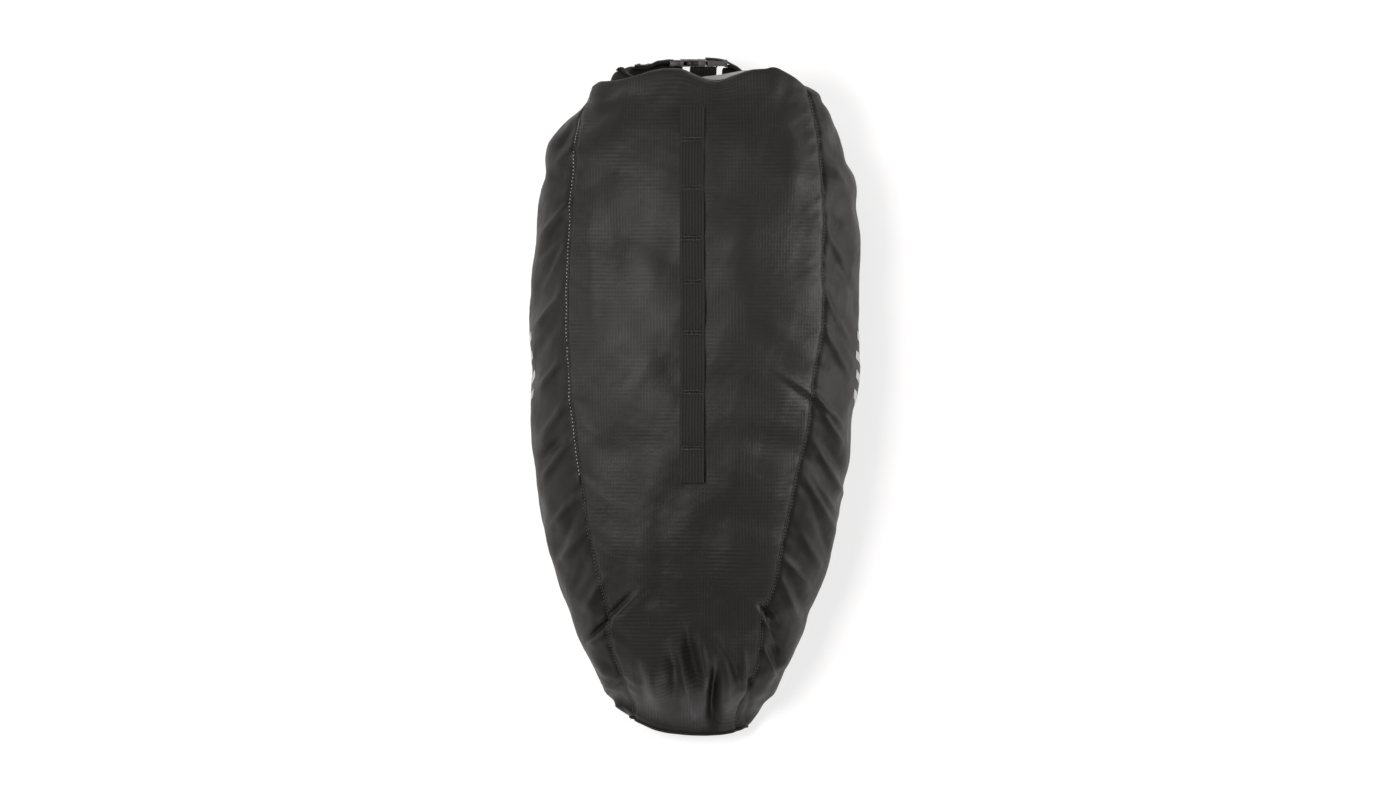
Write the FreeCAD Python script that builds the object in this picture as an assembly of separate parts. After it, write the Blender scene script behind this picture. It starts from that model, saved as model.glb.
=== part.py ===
import FreeCAD, Part
import math
import os

# Roll-top saddle bag lying on its back panel. Millimetres.
# +X right, +Y towards the roll-top mouth, +Z out of the front (daisy chain) panel.
# Origin: centre of the overall box in plan, on the flat the bag rests on.

V = FreeCAD.Vector
os.makedirs("parts", exist_ok=True)

# ---- driving dimensions -------------------------------------------------
WALL = 1.0                # coated fabric, doubled at the seams
UNDERCUT = 0.6            # the round sections reach this far below the flat they are cut at
NOSE_Y = -281.4           # plane of the small nose panel
NECK_Y = 224.0            # where the panels end and the collar starts
NECK_TOP_Y = 243.5        # closed top of the collar, just under the rolled mouth
BACK_SEAM_Z = 16.0        # height of the seam between side panels and back panel
FRONT_SEAM_MIN_Z = 30.0   # front seams run above this height
TAPE_WIDTH = 4.0
TAPE_RISE = 0.8
SKIN_GAP = 0.4            # air between the skin and a piece that lies on it
BINDING_WIDTH = 4.0
BINDING_RISE = 0.9

WEBBING = 20.0            # width of every webbing piece
WEBBING_THICK = 1.6

# Body sections: Y, half width, crown height, sideways shift of the centre
STATIONS = [
    (NOSE_Y, 30.0, 34.0, -7.0),
    (-274.0, 42.0, 50.0, -7.0),
    (-262.0, 57.0, 66.0, -6.5),
    (-246.0, 69.5, 82.0, -6.0),
    (-220.0, 82.5, 98.0, -5.0),
    (-180.0, 99.0, 116.0, -3.5),
    (-126.0, 116.5, 132.0, -2.0),
    (-66.0, 128.0, 143.0, -1.0),
    (0.0, 134.8, 149.0, 0.0),
    (70.0, 136.7, 150.0, 0.0),
    (130.0, 134.0, 145.5, 0.0),
    (180.0, 128.6, 138.0, 0.0),
    (206.0, 122.0, 131.0, 0.0),
    (NECK_Y, 113.5, 124.0, 0.0),
]
FLAT_SHARE = 0.62         # half width of the flat underside / half width
WIDEST_SHARE = 0.42       # height of the widest line / crown height
ROUNDNESS = 0.9           # below 1 the crown is boxier than an ellipse

# Front seams: Y and X of the left and of the right seam line
LEFT_SEAM = [(-290, -40), (-266, -54), (-219, -69), (-177, -72), (-119, -87), (-61, -96),
             (-27, -100), (39, -106), (80, -106), (139, -104), (189, -101), (230, -97)]
RIGHT_SEAM = [(-290, 30), (-252, 44), (-211, 54), (-161, 67), (-94, 79), (-36, 92),
              (22, 100), (56, 106), (139, 107), (189, 106), (230, 100)]

# Daisy chain
CHAIN_X = -2.0
CHAIN_TOP_Y = 238.0
CHAIN_BOTTOM_Y = -71.0
TACKS_Y = [213.0, 173.0, 131.0, 95.0, 53.0, 4.0, -42.0]
CHAIN_LIFT = 2.2          # how far the webbing bows up between two bartacks
CHAIN_GAP = 0.3
TACK_LENGTH = 3.0
TACK_RISE = 0.7

# Reflective bars on each side panel
BAR_FIRST_Y = -8.0
BAR_PITCH = 16.0
BAR_COUNT = 4
BAR_WIDTH = 7.0
BAR_SLANT = 8.0
BAR_HEIGHTS = (64.0, 72.0, 80.0, 88.0)
BAR_RISE = 0.4

# Rolled mouth: a ring open at the back, where the buckle joins its two arms.
# It is laid out upright in an XZ plane and then leaned back by LEAN degrees.
RING_Y = 257.0
RING_FRONT_Z = 98.0
RING_BEND = 25.0
RING_LEFT_X = -38.0       # centre of the left bend
RING_RIGHT_X = 57.0       # centre of the right bend
LEFT_ARM_END = -12.0
RIGHT_ARM_END = 36.5
ROLL_HALF_Y = 13.0
ROLL_HALF_Z = 9.0
STIFFENER_WIDTH = 9.0
STIFFENER_THICK = 1.2
LEAN = 4.3
ARM_Z = RING_FRONT_Z - 2 * RING_BEND

# Side-release buckle for 20 mm webbing, in the upright layout of the ring
BUCKLE_LOW_Y = RING_Y + ROLL_HALF_Y + 0.1
BUCKLE_THICK = 7.5
BUCKLE_HALF_Z = 14.5
SOCKET_X = (-12.0, 9.0)
SOCKET_WALL = 1.3
SOCKET_SIDE_WALL = 1.1
SOCKET_BAR_X = -18.5
SOCKET_BAR_RADIUS = 1.4
PLUG_X = (9.3, 27.0)
PLUG_HALF_Z = 13.5
PRONG_ROOT_X = 11.8
PRONG_Z = 9.0             # distance of each prong from the buckle's centre line
PRONG_HALF = 1.2
PRONG_TIP_X = -7.0
PRONG_LOW_Y = BUCKLE_LOW_Y + 2.5
PRONG_THICK = 2.6
TAIL_X = -4.5              # left edge of the hanging strap tail

BIG = 400.0


def box(x0, x1, y0, y1, z0, z1):
    return Part.makeBox(x1 - x0, y1 - y0, z1 - z0, V(x0, y0, z0))


def cylinder_y(x, z, radius, y0, y1):
    return Part.makeCylinder(radius, y1 - y0, V(x, y0, z), V(0, 1, 0))


def section(y, half, low, high, centre, flat):
    """One D-shaped outline at Y: a flat underside and one smooth curve over the crown."""
    widest = low + WIDEST_SHARE * (high - low)
    right = []
    for step in range(7):
        turn = math.radians(90 - 15 * step)
        right.append((flat + (half - flat) * math.cos(turn), widest - (widest - low) * math.sin(turn)))
    for step in range(1, 10):
        turn = math.radians(10 * step)
        across = half * max(math.cos(turn), 0.0) ** ROUNDNESS
        right.append((across, widest + (high - widest) * math.sin(turn) ** ROUNDNESS))
    left = [(-x, z) for x, z in reversed(right[:-1])]
    points = [V(centre + x, y, z) for x, z in right + left]
    crown = Part.BSplineCurve()
    crown.interpolate(points)
    base = Part.LineSegment(points[-1], points[0])
    return Part.Wire([crown.toShape(), base.toShape()])


def body(grow):
    """The filled body, grown outwards by grow, or shrunk inside the wall when negative."""
    wires = []
    for y, half, high, centre in STATIONS:
        low = max(-grow, 0.0)
        wires.append(section(y, half + grow, low - UNDERCUT, high + grow, centre, FLAT_SHARE * half))
    return Part.makeLoft(wires, True, True).common(box(-BIG, BIG, -BIG, BIG, low, BIG))


def collar(grow, top_y):
    """The filled collar between the end of the panels and the rolled mouth."""
    y, half, high, centre = STATIONS[-1]
    low = max(-grow, 0.0)
    bottom = section(y, half + grow, low - UNDERCUT, high + grow, centre, FLAT_SHARE * half)
    middle = section(y + 0.5 * (top_y - y), 102 + grow, 14 + low, 118 + grow, 2.0, 62.0)
    top = section(top_y, 91 + grow, 38 + low, 108 + grow, 5.0, 56.0)
    return Part.makeLoft([bottom, middle, top], True, True).common(box(-BIG, BIG, -BIG, BIG, low, BIG))


def seam_curve(line, offset):
    """The seam line as a smooth edge in plan, moved sideways by offset."""
    curve = Part.BSplineCurve()
    curve.interpolate([V(x + offset, y, 0) for y, x in line])
    return curve.toShape()


def strip_prism(first, second):
    """A tall prism between two plan curves that run the same way."""
    ends = []
    for a, b in ((first.Vertexes[0], second.Vertexes[0]), (first.Vertexes[-1], second.Vertexes[-1])):
        ends.append(Part.LineSegment(a.Point, b.Point).toShape())
    wire = Part.Wire(Part.__sortEdges__([first, ends[1], second, ends[0]]))
    prism = Part.Face(wire).extrude(V(0, 0, BIG))
    prism.translate(V(0, 0, FRONT_SEAM_MIN_Z))
    return prism


def crown_height(y):
    """Height of the crown line at Y, smooth between stations, straight over the collar."""
    heights = [(station[0], station[2]) for station in STATIONS]
    heights = heights + [(NECK_Y + 0.5 * (NECK_TOP_Y - NECK_Y), 118.0), (NECK_TOP_Y, 108.0)]
    for (y0, z0), (y1, z1) in zip(heights, heights[1:]):
        if y0 <= y <= y1:
            return z0 + (z1 - z0) * (y - y0) / (y1 - y0)
    return heights[-1][1]


def ribbon(points, thick):
    """Webbing seen on edge: a chain of straight runs with round corners, in the XY plane."""
    pieces = []
    for a, b in zip(points, points[1:]):
        length = math.hypot(b[0] - a[0], b[1] - a[1])
        run = Part.makeBox(length, thick, WEBBING, V(0, -thick / 2, 0))
        run.rotate(V(0, 0, 0), V(0, 0, 1), math.degrees(math.atan2(b[1] - a[1], b[0] - a[0])))
        run.translate(V(a[0], a[1], 0))
        pieces.append(run)
    for x, y in points[1:-1]:
        pieces.append(Part.makeCylinder(thick / 2, WEBBING, V(x, y, 0)))
    return pieces[0].fuse(pieces[1:]).removeSplitter()


def flat_ribbon(points, thick):
    """A ribbon across the buckle: it keeps XY and is centred on the buckle's centre line."""
    shape = ribbon(points, thick)
    shape.translate(V(0, 0, ARM_Z - WEBBING / 2))
    return shape


def hanging_ribbon(points, thick, x):
    """A ribbon whose runs are (Y, Z) points and whose width lies along X."""
    shape = ribbon(points, thick)
    swap = FreeCAD.Matrix(0, 0, 1, x, 1, 0, 0, 0, 0, 1, 0, 0, 0, 0, 0, 1)
    return shape.transformGeometry(swap)


def ring(half_y, half_z, is_strip):
    """A section carried round the open ring: two arms, two bends and the front run."""
    def face(x):
        if is_strip:
            corners = [(-half_y, -half_z), (half_y, -half_z), (half_y, half_z), (-half_y, half_z)]
            points = [V(x, RING_Y + y, RING_FRONT_Z + z) for y, z in corners]
            return Part.Face(Part.makePolygon(points + points[:1]))
        oval = Part.Ellipse(V(0, 0, 0), half_y, half_z).toShape()
        outline = Part.Wire([oval])
        outline.rotate(V(0, 0, 0), V(1, 0, 0), 90)
        outline.rotate(V(0, 0, 0), V(0, 0, 1), 90)
        outline.translate(V(x, RING_Y, RING_FRONT_Z))
        return Part.Face(outline)

    bend_z = RING_FRONT_Z - RING_BEND
    front = face(RING_LEFT_X).extrude(V(RING_RIGHT_X - RING_LEFT_X, 0, 0))
    left = face(RING_LEFT_X).revolve(V(RING_LEFT_X, 0, bend_z), V(0, 1, 0), -180)
    right = face(RING_RIGHT_X).revolve(V(RING_RIGHT_X, 0, bend_z), V(0, 1, 0), 180)
    drop = V(0, 0, -2 * RING_BEND)
    left_arm = face(RING_LEFT_X).extrude(V(LEFT_ARM_END - RING_LEFT_X, 0, 0))
    left_arm.translate(drop)
    right_arm = face(RING_RIGHT_X).extrude(V(RIGHT_ARM_END - RING_RIGHT_X, 0, 0))
    right_arm.translate(drop)
    return front.fuse([left, right, left_arm, right_arm]).removeSplitter()


def lean(shape):
    """From the upright layout of the closure to its place on the bag."""
    turned = shape.copy()
    turned.rotate(V(0, RING_Y, RING_FRONT_Z), V(1, 0, 0), LEAN)
    return turned


# ---- the bag's own pieces -----------------------------------------------
def panels():
    filled = body(0.0)
    skin = filled.cut(body(-WALL))
    nose_slab = box(-BIG, BIG, NOSE_Y - BIG, NOSE_Y + WALL, -BIG, BIG)
    nose = filled.common(nose_slab)
    skin = skin.cut(nose_slab)
    low = box(-BIG, BIG, -BIG, BIG, -BIG, BACK_SEAM_Z)
    front_prism = strip_prism(seam_curve(LEFT_SEAM, 0), seam_curve(RIGHT_SEAM, 0))
    back = skin.common(low)
    upper = skin.cut(low)
    front = upper.common(front_prism)
    sides = upper.cut(front_prism)
    left = sides.common(box(-BIG, -6.0, -BIG, BIG, -BIG, BIG))
    right = sides.common(box(-6.0, BIG, -BIG, BIG, -BIG, BIG))
    return {
        "front_panel": front,
        "back_panel": back,
        "left_side_panel": left,
        "right_side_panel": right,
        "nose_panel": nose,
    }


def station_at(y):
    """Half width, crown height and centre of the body at Y, straight between the stations."""
    for first, second in zip(STATIONS, STATIONS[1:]):
        if y <= second[0]:
            share = (y - first[0]) / (second[0] - first[0])
            return [a + share * (b - a) for a, b in zip(first[1:], second[1:])]
    return STATIONS[-1][1:]


def crown_point(y, x):
    """Height of the upper skin over a plan point, and the outward normal there in XZ."""
    half, high, centre = station_at(y)
    widest = WIDEST_SHARE * (high + UNDERCUT) - UNDERCUT
    heights = []
    for step in (-0.5, 0.0, 0.5):
        across = min(abs(x + step - centre) / half, 0.999) ** (1 / ROUNDNESS)
        heights.append(widest + (high - widest) * math.sqrt(1 - across ** 2) ** ROUNDNESS)
    slope = heights[2] - heights[0]
    length = math.hypot(slope, 1.0)
    return heights[1], (-slope / length, 1.0 / length)


def side_point(y, z, side):
    """X of the side skin at a height above its widest line."""
    half, high, centre = station_at(y)
    widest = WIDEST_SHARE * (high + UNDERCUT) - UNDERCUT
    rise = ((z - widest) / (high - widest)) ** (1 / ROUNDNESS)
    return centre + side * half * math.sqrt(1 - rise ** 2) ** ROUNDNESS


def back_seam_point(y, side):
    """The seam between side and back panel, and the outward normal there in XZ."""
    half, high, centre = station_at(y)
    flat = FLAT_SHARE * half
    widest = WIDEST_SHARE * (high + UNDERCUT) - UNDERCUT
    turn = math.acos(max((widest - BACK_SEAM_Z) / (widest + UNDERCUT), 0.0))
    x = flat + (half - flat) * math.sin(turn)
    normal = (math.sin(turn) / (half - flat), -math.cos(turn) / widest)
    length = math.hypot(*normal)
    return centre + side * x, (side * normal[0] / length, normal[1] / length)


def seam_x(line, y):
    for (y0, x0), (y1, x1) in zip(line, line[1:]):
        if y <= y1:
            return x0 + (x1 - x0) * (y - y0) / (y1 - y0)
    return line[-1][1]


def tape_section(y, x, z, normal):
    """A small rectangle that lies over a seam, one skin gap above it."""
    along = (normal[1], -normal[0])
    corners = []
    for across, out in ((-1, 0), (1, 0), (1, 1), (-1, 1)):
        reach = across * TAPE_WIDTH / 2
        lift = SKIN_GAP + out * TAPE_RISE
        corners.append(V(x + reach * along[0] + lift * normal[0], y, z + reach * along[1] + lift * normal[1]))
    return Part.makePolygon(corners + corners[:1])


def seam_tapes():
    rows = [station[0] for station in STATIONS[2:]]
    tapes = {}
    for name, side, line in (("left", -1, LEFT_SEAM), ("right", 1, RIGHT_SEAM)):
        over_front, over_back = [], []
        for y in rows:
            x = seam_x(line, y)
            z, normal = crown_point(y, x)
            over_front.append(tape_section(y, x, z, normal))
            x, normal = back_seam_point(y, side)
            over_back.append(tape_section(y, x, BACK_SEAM_Z, normal))
        tapes["seam_tape_front_" + name] = Part.makeLoft(over_front, True, True)
        tapes["seam_tape_back_" + name] = Part.makeLoft(over_back, True, True)
    return tapes


def nose_seam_binding():
    """A flat ring of tape against the edge of the nose panel."""
    y, half, high, centre = STATIONS[0]
    outer = section(y, half, 0.0, high, centre, FLAT_SHARE * half)
    band = BINDING_WIDTH
    inner = section(y, half - band, band, high - band, centre, FLAT_SHARE * half - 0.5 * band)
    ring_face = Part.Face(outer).cut(Part.Face(inner))
    binding = ring_face.extrude(V(0, -BINDING_RISE, 0))
    binding.translate(V(0, -0.1, 0))
    return binding


def reflective_bars():
    """Slanted bars that follow the side skin above its widest line."""
    bars = {}
    for index in range(BAR_COUNT):
        for name, side in (("left", -1), ("right", 1)):
            wires = []
            for z in BAR_HEIGHTS:
                share = (z - BAR_HEIGHTS[0]) / (BAR_HEIGHTS[-1] - BAR_HEIGHTS[0])
                y0 = BAR_FIRST_Y + index * BAR_PITCH + share * BAR_SLANT
                corners = []
                for y, lift in ((y0, 0), (y0 + BAR_WIDTH, 0), (y0 + BAR_WIDTH, BAR_RISE), (y0, BAR_RISE)):
                    corners.append(V(side_point(y, z, side) + side * (SKIN_GAP + lift), y, z))
                wires.append(Part.makePolygon(corners + corners[:1]))
            bars["reflective_bar_%s_%d" % (name, index + 1)] = Part.makeLoft(wires, True, True)
    return bars


def daisy_chain():
    """Webbing down the crown line: held at each bartack, bowed up a little between them."""
    rise = CHAIN_GAP + WEBBING_THICK / 2
    stops = [CHAIN_TOP_Y] + TACKS_Y + [CHAIN_BOTTOM_Y]
    points = []
    for start, stop in zip(stops, stops[1:]):
        is_end = start == CHAIN_TOP_Y or stop == CHAIN_BOTTOM_Y
        for part in range(4):
            share = part / 4.0
            y = start + share * (stop - start)
            bow = 0.0 if is_end else CHAIN_LIFT * math.sin(math.pi * share)
            points.append((y, crown_height(y) + rise + bow))
    points.append((CHAIN_BOTTOM_Y, crown_height(CHAIN_BOTTOM_Y) + rise))
    chain = hanging_ribbon(points, WEBBING_THICK, CHAIN_X - WEBBING / 2)
    return chain.cut(body(0.05)).cut(collar(0.05, NECK_TOP_Y))


def daisy_bartacks(chain):
    """Dense stitch bars across the webbing: one on each bartack line."""
    tacks = {}
    for index, y in enumerate(TACKS_Y):
        top = crown_height(y) + CHAIN_GAP + WEBBING_THICK
        block = box(CHAIN_X - 8.5, CHAIN_X + 8.5, y - TACK_LENGTH / 2, y + TACK_LENGTH / 2,
                    top - 0.6, top + TACK_RISE)
        tacks["daisy_bartack_%d" % (index + 1)] = block.cut(chain)
    return tacks


# ---- closure: rolled mouth, stiffener, webbing and buckle ----------------
def rolled_mouth():
    roll = ring(ROLL_HALF_Y, ROLL_HALF_Z, False)
    strip = ring(STIFFENER_WIDTH / 2, STIFFENER_THICK / 2, True)
    return roll.cut(strip), strip


def buckle_tab():
    """Webbing loop from the left arm round the bar of the socket and back."""
    mid = BUCKLE_LOW_Y + WEBBING_THICK / 2
    bar_y = BUCKLE_LOW_Y + BUCKLE_THICK / 2
    reach = SOCKET_BAR_RADIUS + 0.3 + WEBBING_THICK / 2
    points = [(-52.0, mid), (SOCKET_BAR_X - 3.5, mid), (SOCKET_BAR_X, bar_y - reach)]
    for turn in (-45, 0, 45):
        angle = math.radians(turn)
        points.append((SOCKET_BAR_X + reach * math.cos(angle), bar_y + reach * math.sin(angle)))
    points.append((SOCKET_BAR_X, bar_y + reach))
    points.append((SOCKET_BAR_X - 4.0, bar_y + reach - 0.8))
    points.append((-36.0, mid + WEBBING_THICK + 0.02))
    points.append((-50.0, mid + WEBBING_THICK + 0.02))
    return flat_ribbon(points, WEBBING_THICK)


def buckle_socket():
    low = BUCKLE_LOW_Y
    high = low + BUCKLE_THICK
    shell = box(SOCKET_X[0], SOCKET_X[1], low, high, ARM_Z - BUCKLE_HALF_Z, ARM_Z + BUCKLE_HALF_Z)
    inner = BUCKLE_HALF_Z - SOCKET_SIDE_WALL
    cavity = box(SOCKET_X[0] + 2.5, SOCKET_X[1] + 1, low + SOCKET_WALL, high - SOCKET_WALL,
                 ARM_Z - inner, ARM_Z + inner)
    windows = box(SOCKET_X[0] + 3.5, SOCKET_X[1] - 6.0, low + SOCKET_WALL, high - SOCKET_WALL,
                  ARM_Z - BIG, ARM_Z + BIG)
    socket = shell.cut(cavity).cut(windows)
    for sign in (-1, 1):
        near = ARM_Z + sign * 10.9
        far = ARM_Z + sign * (BUCKLE_HALF_Z - 1.0)
        cheek = box(SOCKET_BAR_X - 2.2, SOCKET_X[0], low + 1.2, high - 1.2, min(near, far), max(near, far))
        socket = socket.fuse(cheek)
    bar = Part.makeCylinder(SOCKET_BAR_RADIUS, 24.0, V(SOCKET_BAR_X, (low + high) / 2, ARM_Z - 12.0))
    return socket.fuse(bar).removeSplitter()


def buckle_plug():
    """Ladder-lock body with a centre tongue and two pockets for the prong roots."""
    low = BUCKLE_LOW_Y
    high = low + BUCKLE_THICK
    frame = box(PLUG_X[0], PLUG_X[1], low, high, ARM_Z - PLUG_HALF_Z, ARM_Z + PLUG_HALF_Z)
    window = box(16.5, 25.0, low - 1, high + 1, ARM_Z - 10.4, ARM_Z + 10.4)
    under_rail = box(24.9, 28.0, low - 1, low + 2.2, ARM_Z - 10.4, ARM_Z + 10.4)
    bar = box(19.5, 22.0, low + 2.4, low + 4.9, ARM_Z - 10.4, ARM_Z + 10.4)
    tongue = box(-6.0, PLUG_X[0], low + 2.5, low + 5.1, ARM_Z - 2.5, ARM_Z + 2.5)
    plug = frame.cut(window).cut(under_rail).fuse([bar, tongue])
    pocket_low = PRONG_LOW_Y - 0.3
    pocket_high = PRONG_LOW_Y + PRONG_THICK + 0.3
    for sign in (-1, 1):
        z = ARM_Z + sign * PRONG_Z
        inner = z - sign * 3.4
        outer = z + sign * 1.6
        plug = plug.cut(cylinder_y(PRONG_ROOT_X, z, 2.0, pocket_low, pocket_high))
        plug = plug.cut(box(PLUG_X[0] - 1, PRONG_ROOT_X, pocket_low, pocket_high,
                            min(inner, outer), max(inner, outer)))
    return plug.removeSplitter()


def prong(sign):
    """One sprung arm: round root in the plug's pocket, barb at the tip."""
    z = PRONG_Z
    outline = [(PRONG_ROOT_X, z - PRONG_HALF), (PRONG_ROOT_X, z + PRONG_HALF), (-3.0, z + PRONG_HALF),
               (-3.0, z + 4.2), (-5.0, z + 3.6), (PRONG_TIP_X, z + 1.4), (PRONG_TIP_X, z - PRONG_HALF)]
    points = [V(x, PRONG_LOW_Y, ARM_Z + sign * a) for x, a in outline]
    arm = Part.Face(Part.makePolygon(points + points[:1])).extrude(V(0, PRONG_THICK, 0))
    root = cylinder_y(PRONG_ROOT_X, ARM_Z + sign * z, 1.7, PRONG_LOW_Y, PRONG_LOW_Y + PRONG_THICK)
    return arm.fuse(root).removeSplitter()


def adjuster_strap():
    """From its stitching on the right arm, under the rail, over the ladder bar and down."""
    mid = BUCKLE_LOW_Y + WEBBING_THICK / 2
    over = BUCKLE_LOW_Y + 4.9 + 0.3 + WEBBING_THICK / 2
    points = [(62.0, mid), (23.5, mid), (23.5, over), (18.0, over), (18.0, mid + 0.2)]
    return flat_ribbon(points, WEBBING_THICK)


def strap_tail():
    """Free end of the adjuster strap, twisted flat and hanging between the two arms."""
    top = BUCKLE_LOW_Y - 1.7
    points = [(top, ARM_Z), (top - 5.0, ARM_Z - 9.0), (top - 14.0, ARM_Z - 24.0), (top - 22.0, ARM_Z - 40.0)]
    return hanging_ribbon(points, WEBBING_THICK, TAIL_X)


def webbing_tack(x, y):
    return box(x - 1.5, x + 1.5, y, y + TACK_RISE, ARM_Z - 8.5, ARM_Z + 8.5)


def closure():
    roll, strip = rolled_mouth()
    on_tab = BUCKLE_LOW_Y + 2 * WEBBING_THICK + 0.02
    on_strap = BUCKLE_LOW_Y + WEBBING_THICK
    pieces = {
        "rolled_mouth": roll,
        "mouth_stiffener": strip,
        "buckle_tab": buckle_tab(),
        "tab_bartack_1": webbing_tack(-47.0, on_tab),
        "tab_bartack_2": webbing_tack(-38.5, on_tab),
        "adjuster_strap": adjuster_strap(),
        "strap_bartack_1": webbing_tack(48.0, on_strap),
        "strap_bartack_2": webbing_tack(59.0, on_strap),
        "buckle_socket": buckle_socket(),
        "buckle_plug": buckle_plug(),
        "prong_front": prong(1),
        "prong_rear": prong(-1),
        "strap_tail": strap_tail(),
    }
    return {name: lean(shape) for name, shape in pieces.items()}


nodes = panels()
nodes["neck_collar"] = collar(0.0, NECK_TOP_Y).cut(collar(-WALL, NECK_TOP_Y - WALL))
nodes.update(seam_tapes())
nodes["nose_seam_binding"] = nose_seam_binding()
nodes.update(reflective_bars())
nodes["daisy_chain"] = daisy_chain()
nodes.update(daisy_bartacks(nodes["daisy_chain"]))
nodes.update(closure())

overall = FreeCAD.BoundBox()
for name, shape in nodes.items():
    overall.add(shape.BoundBox)
    shape.exportStep("parts/%s.step" % name)
    print("%-22s solids %d valid %s volume %9.1f" % (name, len(shape.Solids), shape.isValid(), shape.Volume))
print(overall)
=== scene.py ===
import math

import bmesh
import bpy
import numpy as np
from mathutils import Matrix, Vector
from mathutils.bvhtree import BVHTree


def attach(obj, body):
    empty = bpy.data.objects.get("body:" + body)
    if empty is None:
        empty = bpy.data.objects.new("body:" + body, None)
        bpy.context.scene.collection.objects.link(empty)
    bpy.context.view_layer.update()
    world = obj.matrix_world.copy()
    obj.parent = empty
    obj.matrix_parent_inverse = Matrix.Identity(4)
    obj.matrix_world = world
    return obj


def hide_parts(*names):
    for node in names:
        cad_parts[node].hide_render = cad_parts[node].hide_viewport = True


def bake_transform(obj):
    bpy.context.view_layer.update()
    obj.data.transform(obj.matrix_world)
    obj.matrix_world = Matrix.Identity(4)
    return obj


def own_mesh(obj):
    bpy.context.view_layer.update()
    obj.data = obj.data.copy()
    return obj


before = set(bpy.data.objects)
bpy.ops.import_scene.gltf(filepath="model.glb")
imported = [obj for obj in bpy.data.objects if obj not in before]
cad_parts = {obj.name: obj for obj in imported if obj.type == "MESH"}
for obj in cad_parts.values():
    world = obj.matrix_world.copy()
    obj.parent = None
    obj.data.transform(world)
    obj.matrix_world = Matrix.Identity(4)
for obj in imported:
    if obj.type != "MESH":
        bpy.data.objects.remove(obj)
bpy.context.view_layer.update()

# Roll-top saddle bag lying on its back panel. All shape functions work in millimetres in the
# frame of the CAD model and turn into metres when a mesh is made.
MM = 0.001

# ---- outlines of the bag, by distance along Y -----------------------------
NOSE_Y = -282.4
COLLAR_Y = 246.0
LEFT_REACH = [
    (-282.4, 40), (-276, 47), (-270, 53.5), (-266, 60.5), (-262, 66), (-254, 70.5), (-250, 74),
    (-237, 79.5), (-222, 86.5), (-206, 95.5), (-186, 103.5), (-156, 114.5), (-126, 121), (-96, 127.5),
    (-66, 131.5), (-36, 134.5), (0, 136), (34, 137), (74, 136.7), (114, 134.9), (154, 129), (184, 124),
    (202, 123.5), (213, 120.5), (222, 114), (230, 106), (238, 97), (246, 90)]
RIGHT_REACH = [
    (-282.4, 36), (-277, 42), (-270, 49), (-259, 58), (-248, 67), (-237, 73), (-222, 80), (-206, 86),
    (-186, 94), (-156, 105), (-126, 112.8), (-96, 120.6), (-66, 125.6), (-36, 129.6), (0, 135.4),
    (34, 136), (74, 136), (114, 136), (154, 135), (176, 134.4), (184, 132.4), (196, 126.5), (214, 121),
    (230, 115), (238, 111.5), (246, 106)]
CROWN = [
    (-282.4, 29), (-276, 33), (-270, 40), (-262, 54), (-250, 72), (-236, 86), (-220, 97), (-200, 107.5),
    (-180, 116), (-150, 126), (-120, 133), (-66, 143), (0, 149), (70, 150), (130, 145.5), (180, 138),
    (206, 131), (224, 124), (236, 118), (246, 113)]
UNDERSIDE = [(-282.4, 3), (-270, 1.2), (-255, 0), (205, 0), (216, 2), (226, 8), (236, 20), (246, 37)]
LEFT_SEAM = [
    (-282.4, -51.5), (-269, -53.5), (-256, -58), (-240, -60.5), (-218, -67), (-199, -71.4), (-185, -72.4),
    (-177, -72), (-166, -75), (-119, -87), (-61, -96), (-27, -100), (39, -106), (80, -106), (139, -104),
    (189, -101), (232, -96.5), (246, -90)]
RIGHT_SEAM = [
    (-282.4, 35), (-266, 36.2), (-252, 42), (-240, 46), (-227, 51), (-211, 54), (-199, 55), (-181, 55.5),
    (-173, 59), (-161, 64.5), (-128, 72), (-94, 79), (-36, 92), (22, 100), (56, 105), (90, 107),
    (139, 107), (189, 106), (224, 101.5), (246, 96.5)]
NOSE_END = [
    (-62, -264.5), (-53, -269.3), (-41, -274.6), (-27, -279.3), (-10, -281.6), (5, -282.4), (18, -281.8),
    (35, -279), (42, -275.5)]
NOSE_BEND_Y = -226.0      # the nose seam's curve fades out towards this Y
BACK_SEAM_Z = 16.0
FLAT_SHARE = 0.62
WIDEST_SHARE = 0.42
ROUNDNESS = 0.9

# Top edge of the front, where the fabric folds over the rolled mouth
FOLD_EDGE = [
    (-93, 250), (-88, 257), (-83, 261.2), (-75, 262.4), (-67, 263), (-52, 266.2), (-37, 270.6),
    (-28, 272.4), (-20, 272.8), (-12, 272.6), (-5, 269.9), (4, 266.0), (11, 263.9), (17, 263.2),
    (25, 264.4), (34, 267.4), (42, 270.2), (51, 272.0), (60, 272.4), (67, 273.8), (78, 269), (87.5, 263),
    (99, 252)]
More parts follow.
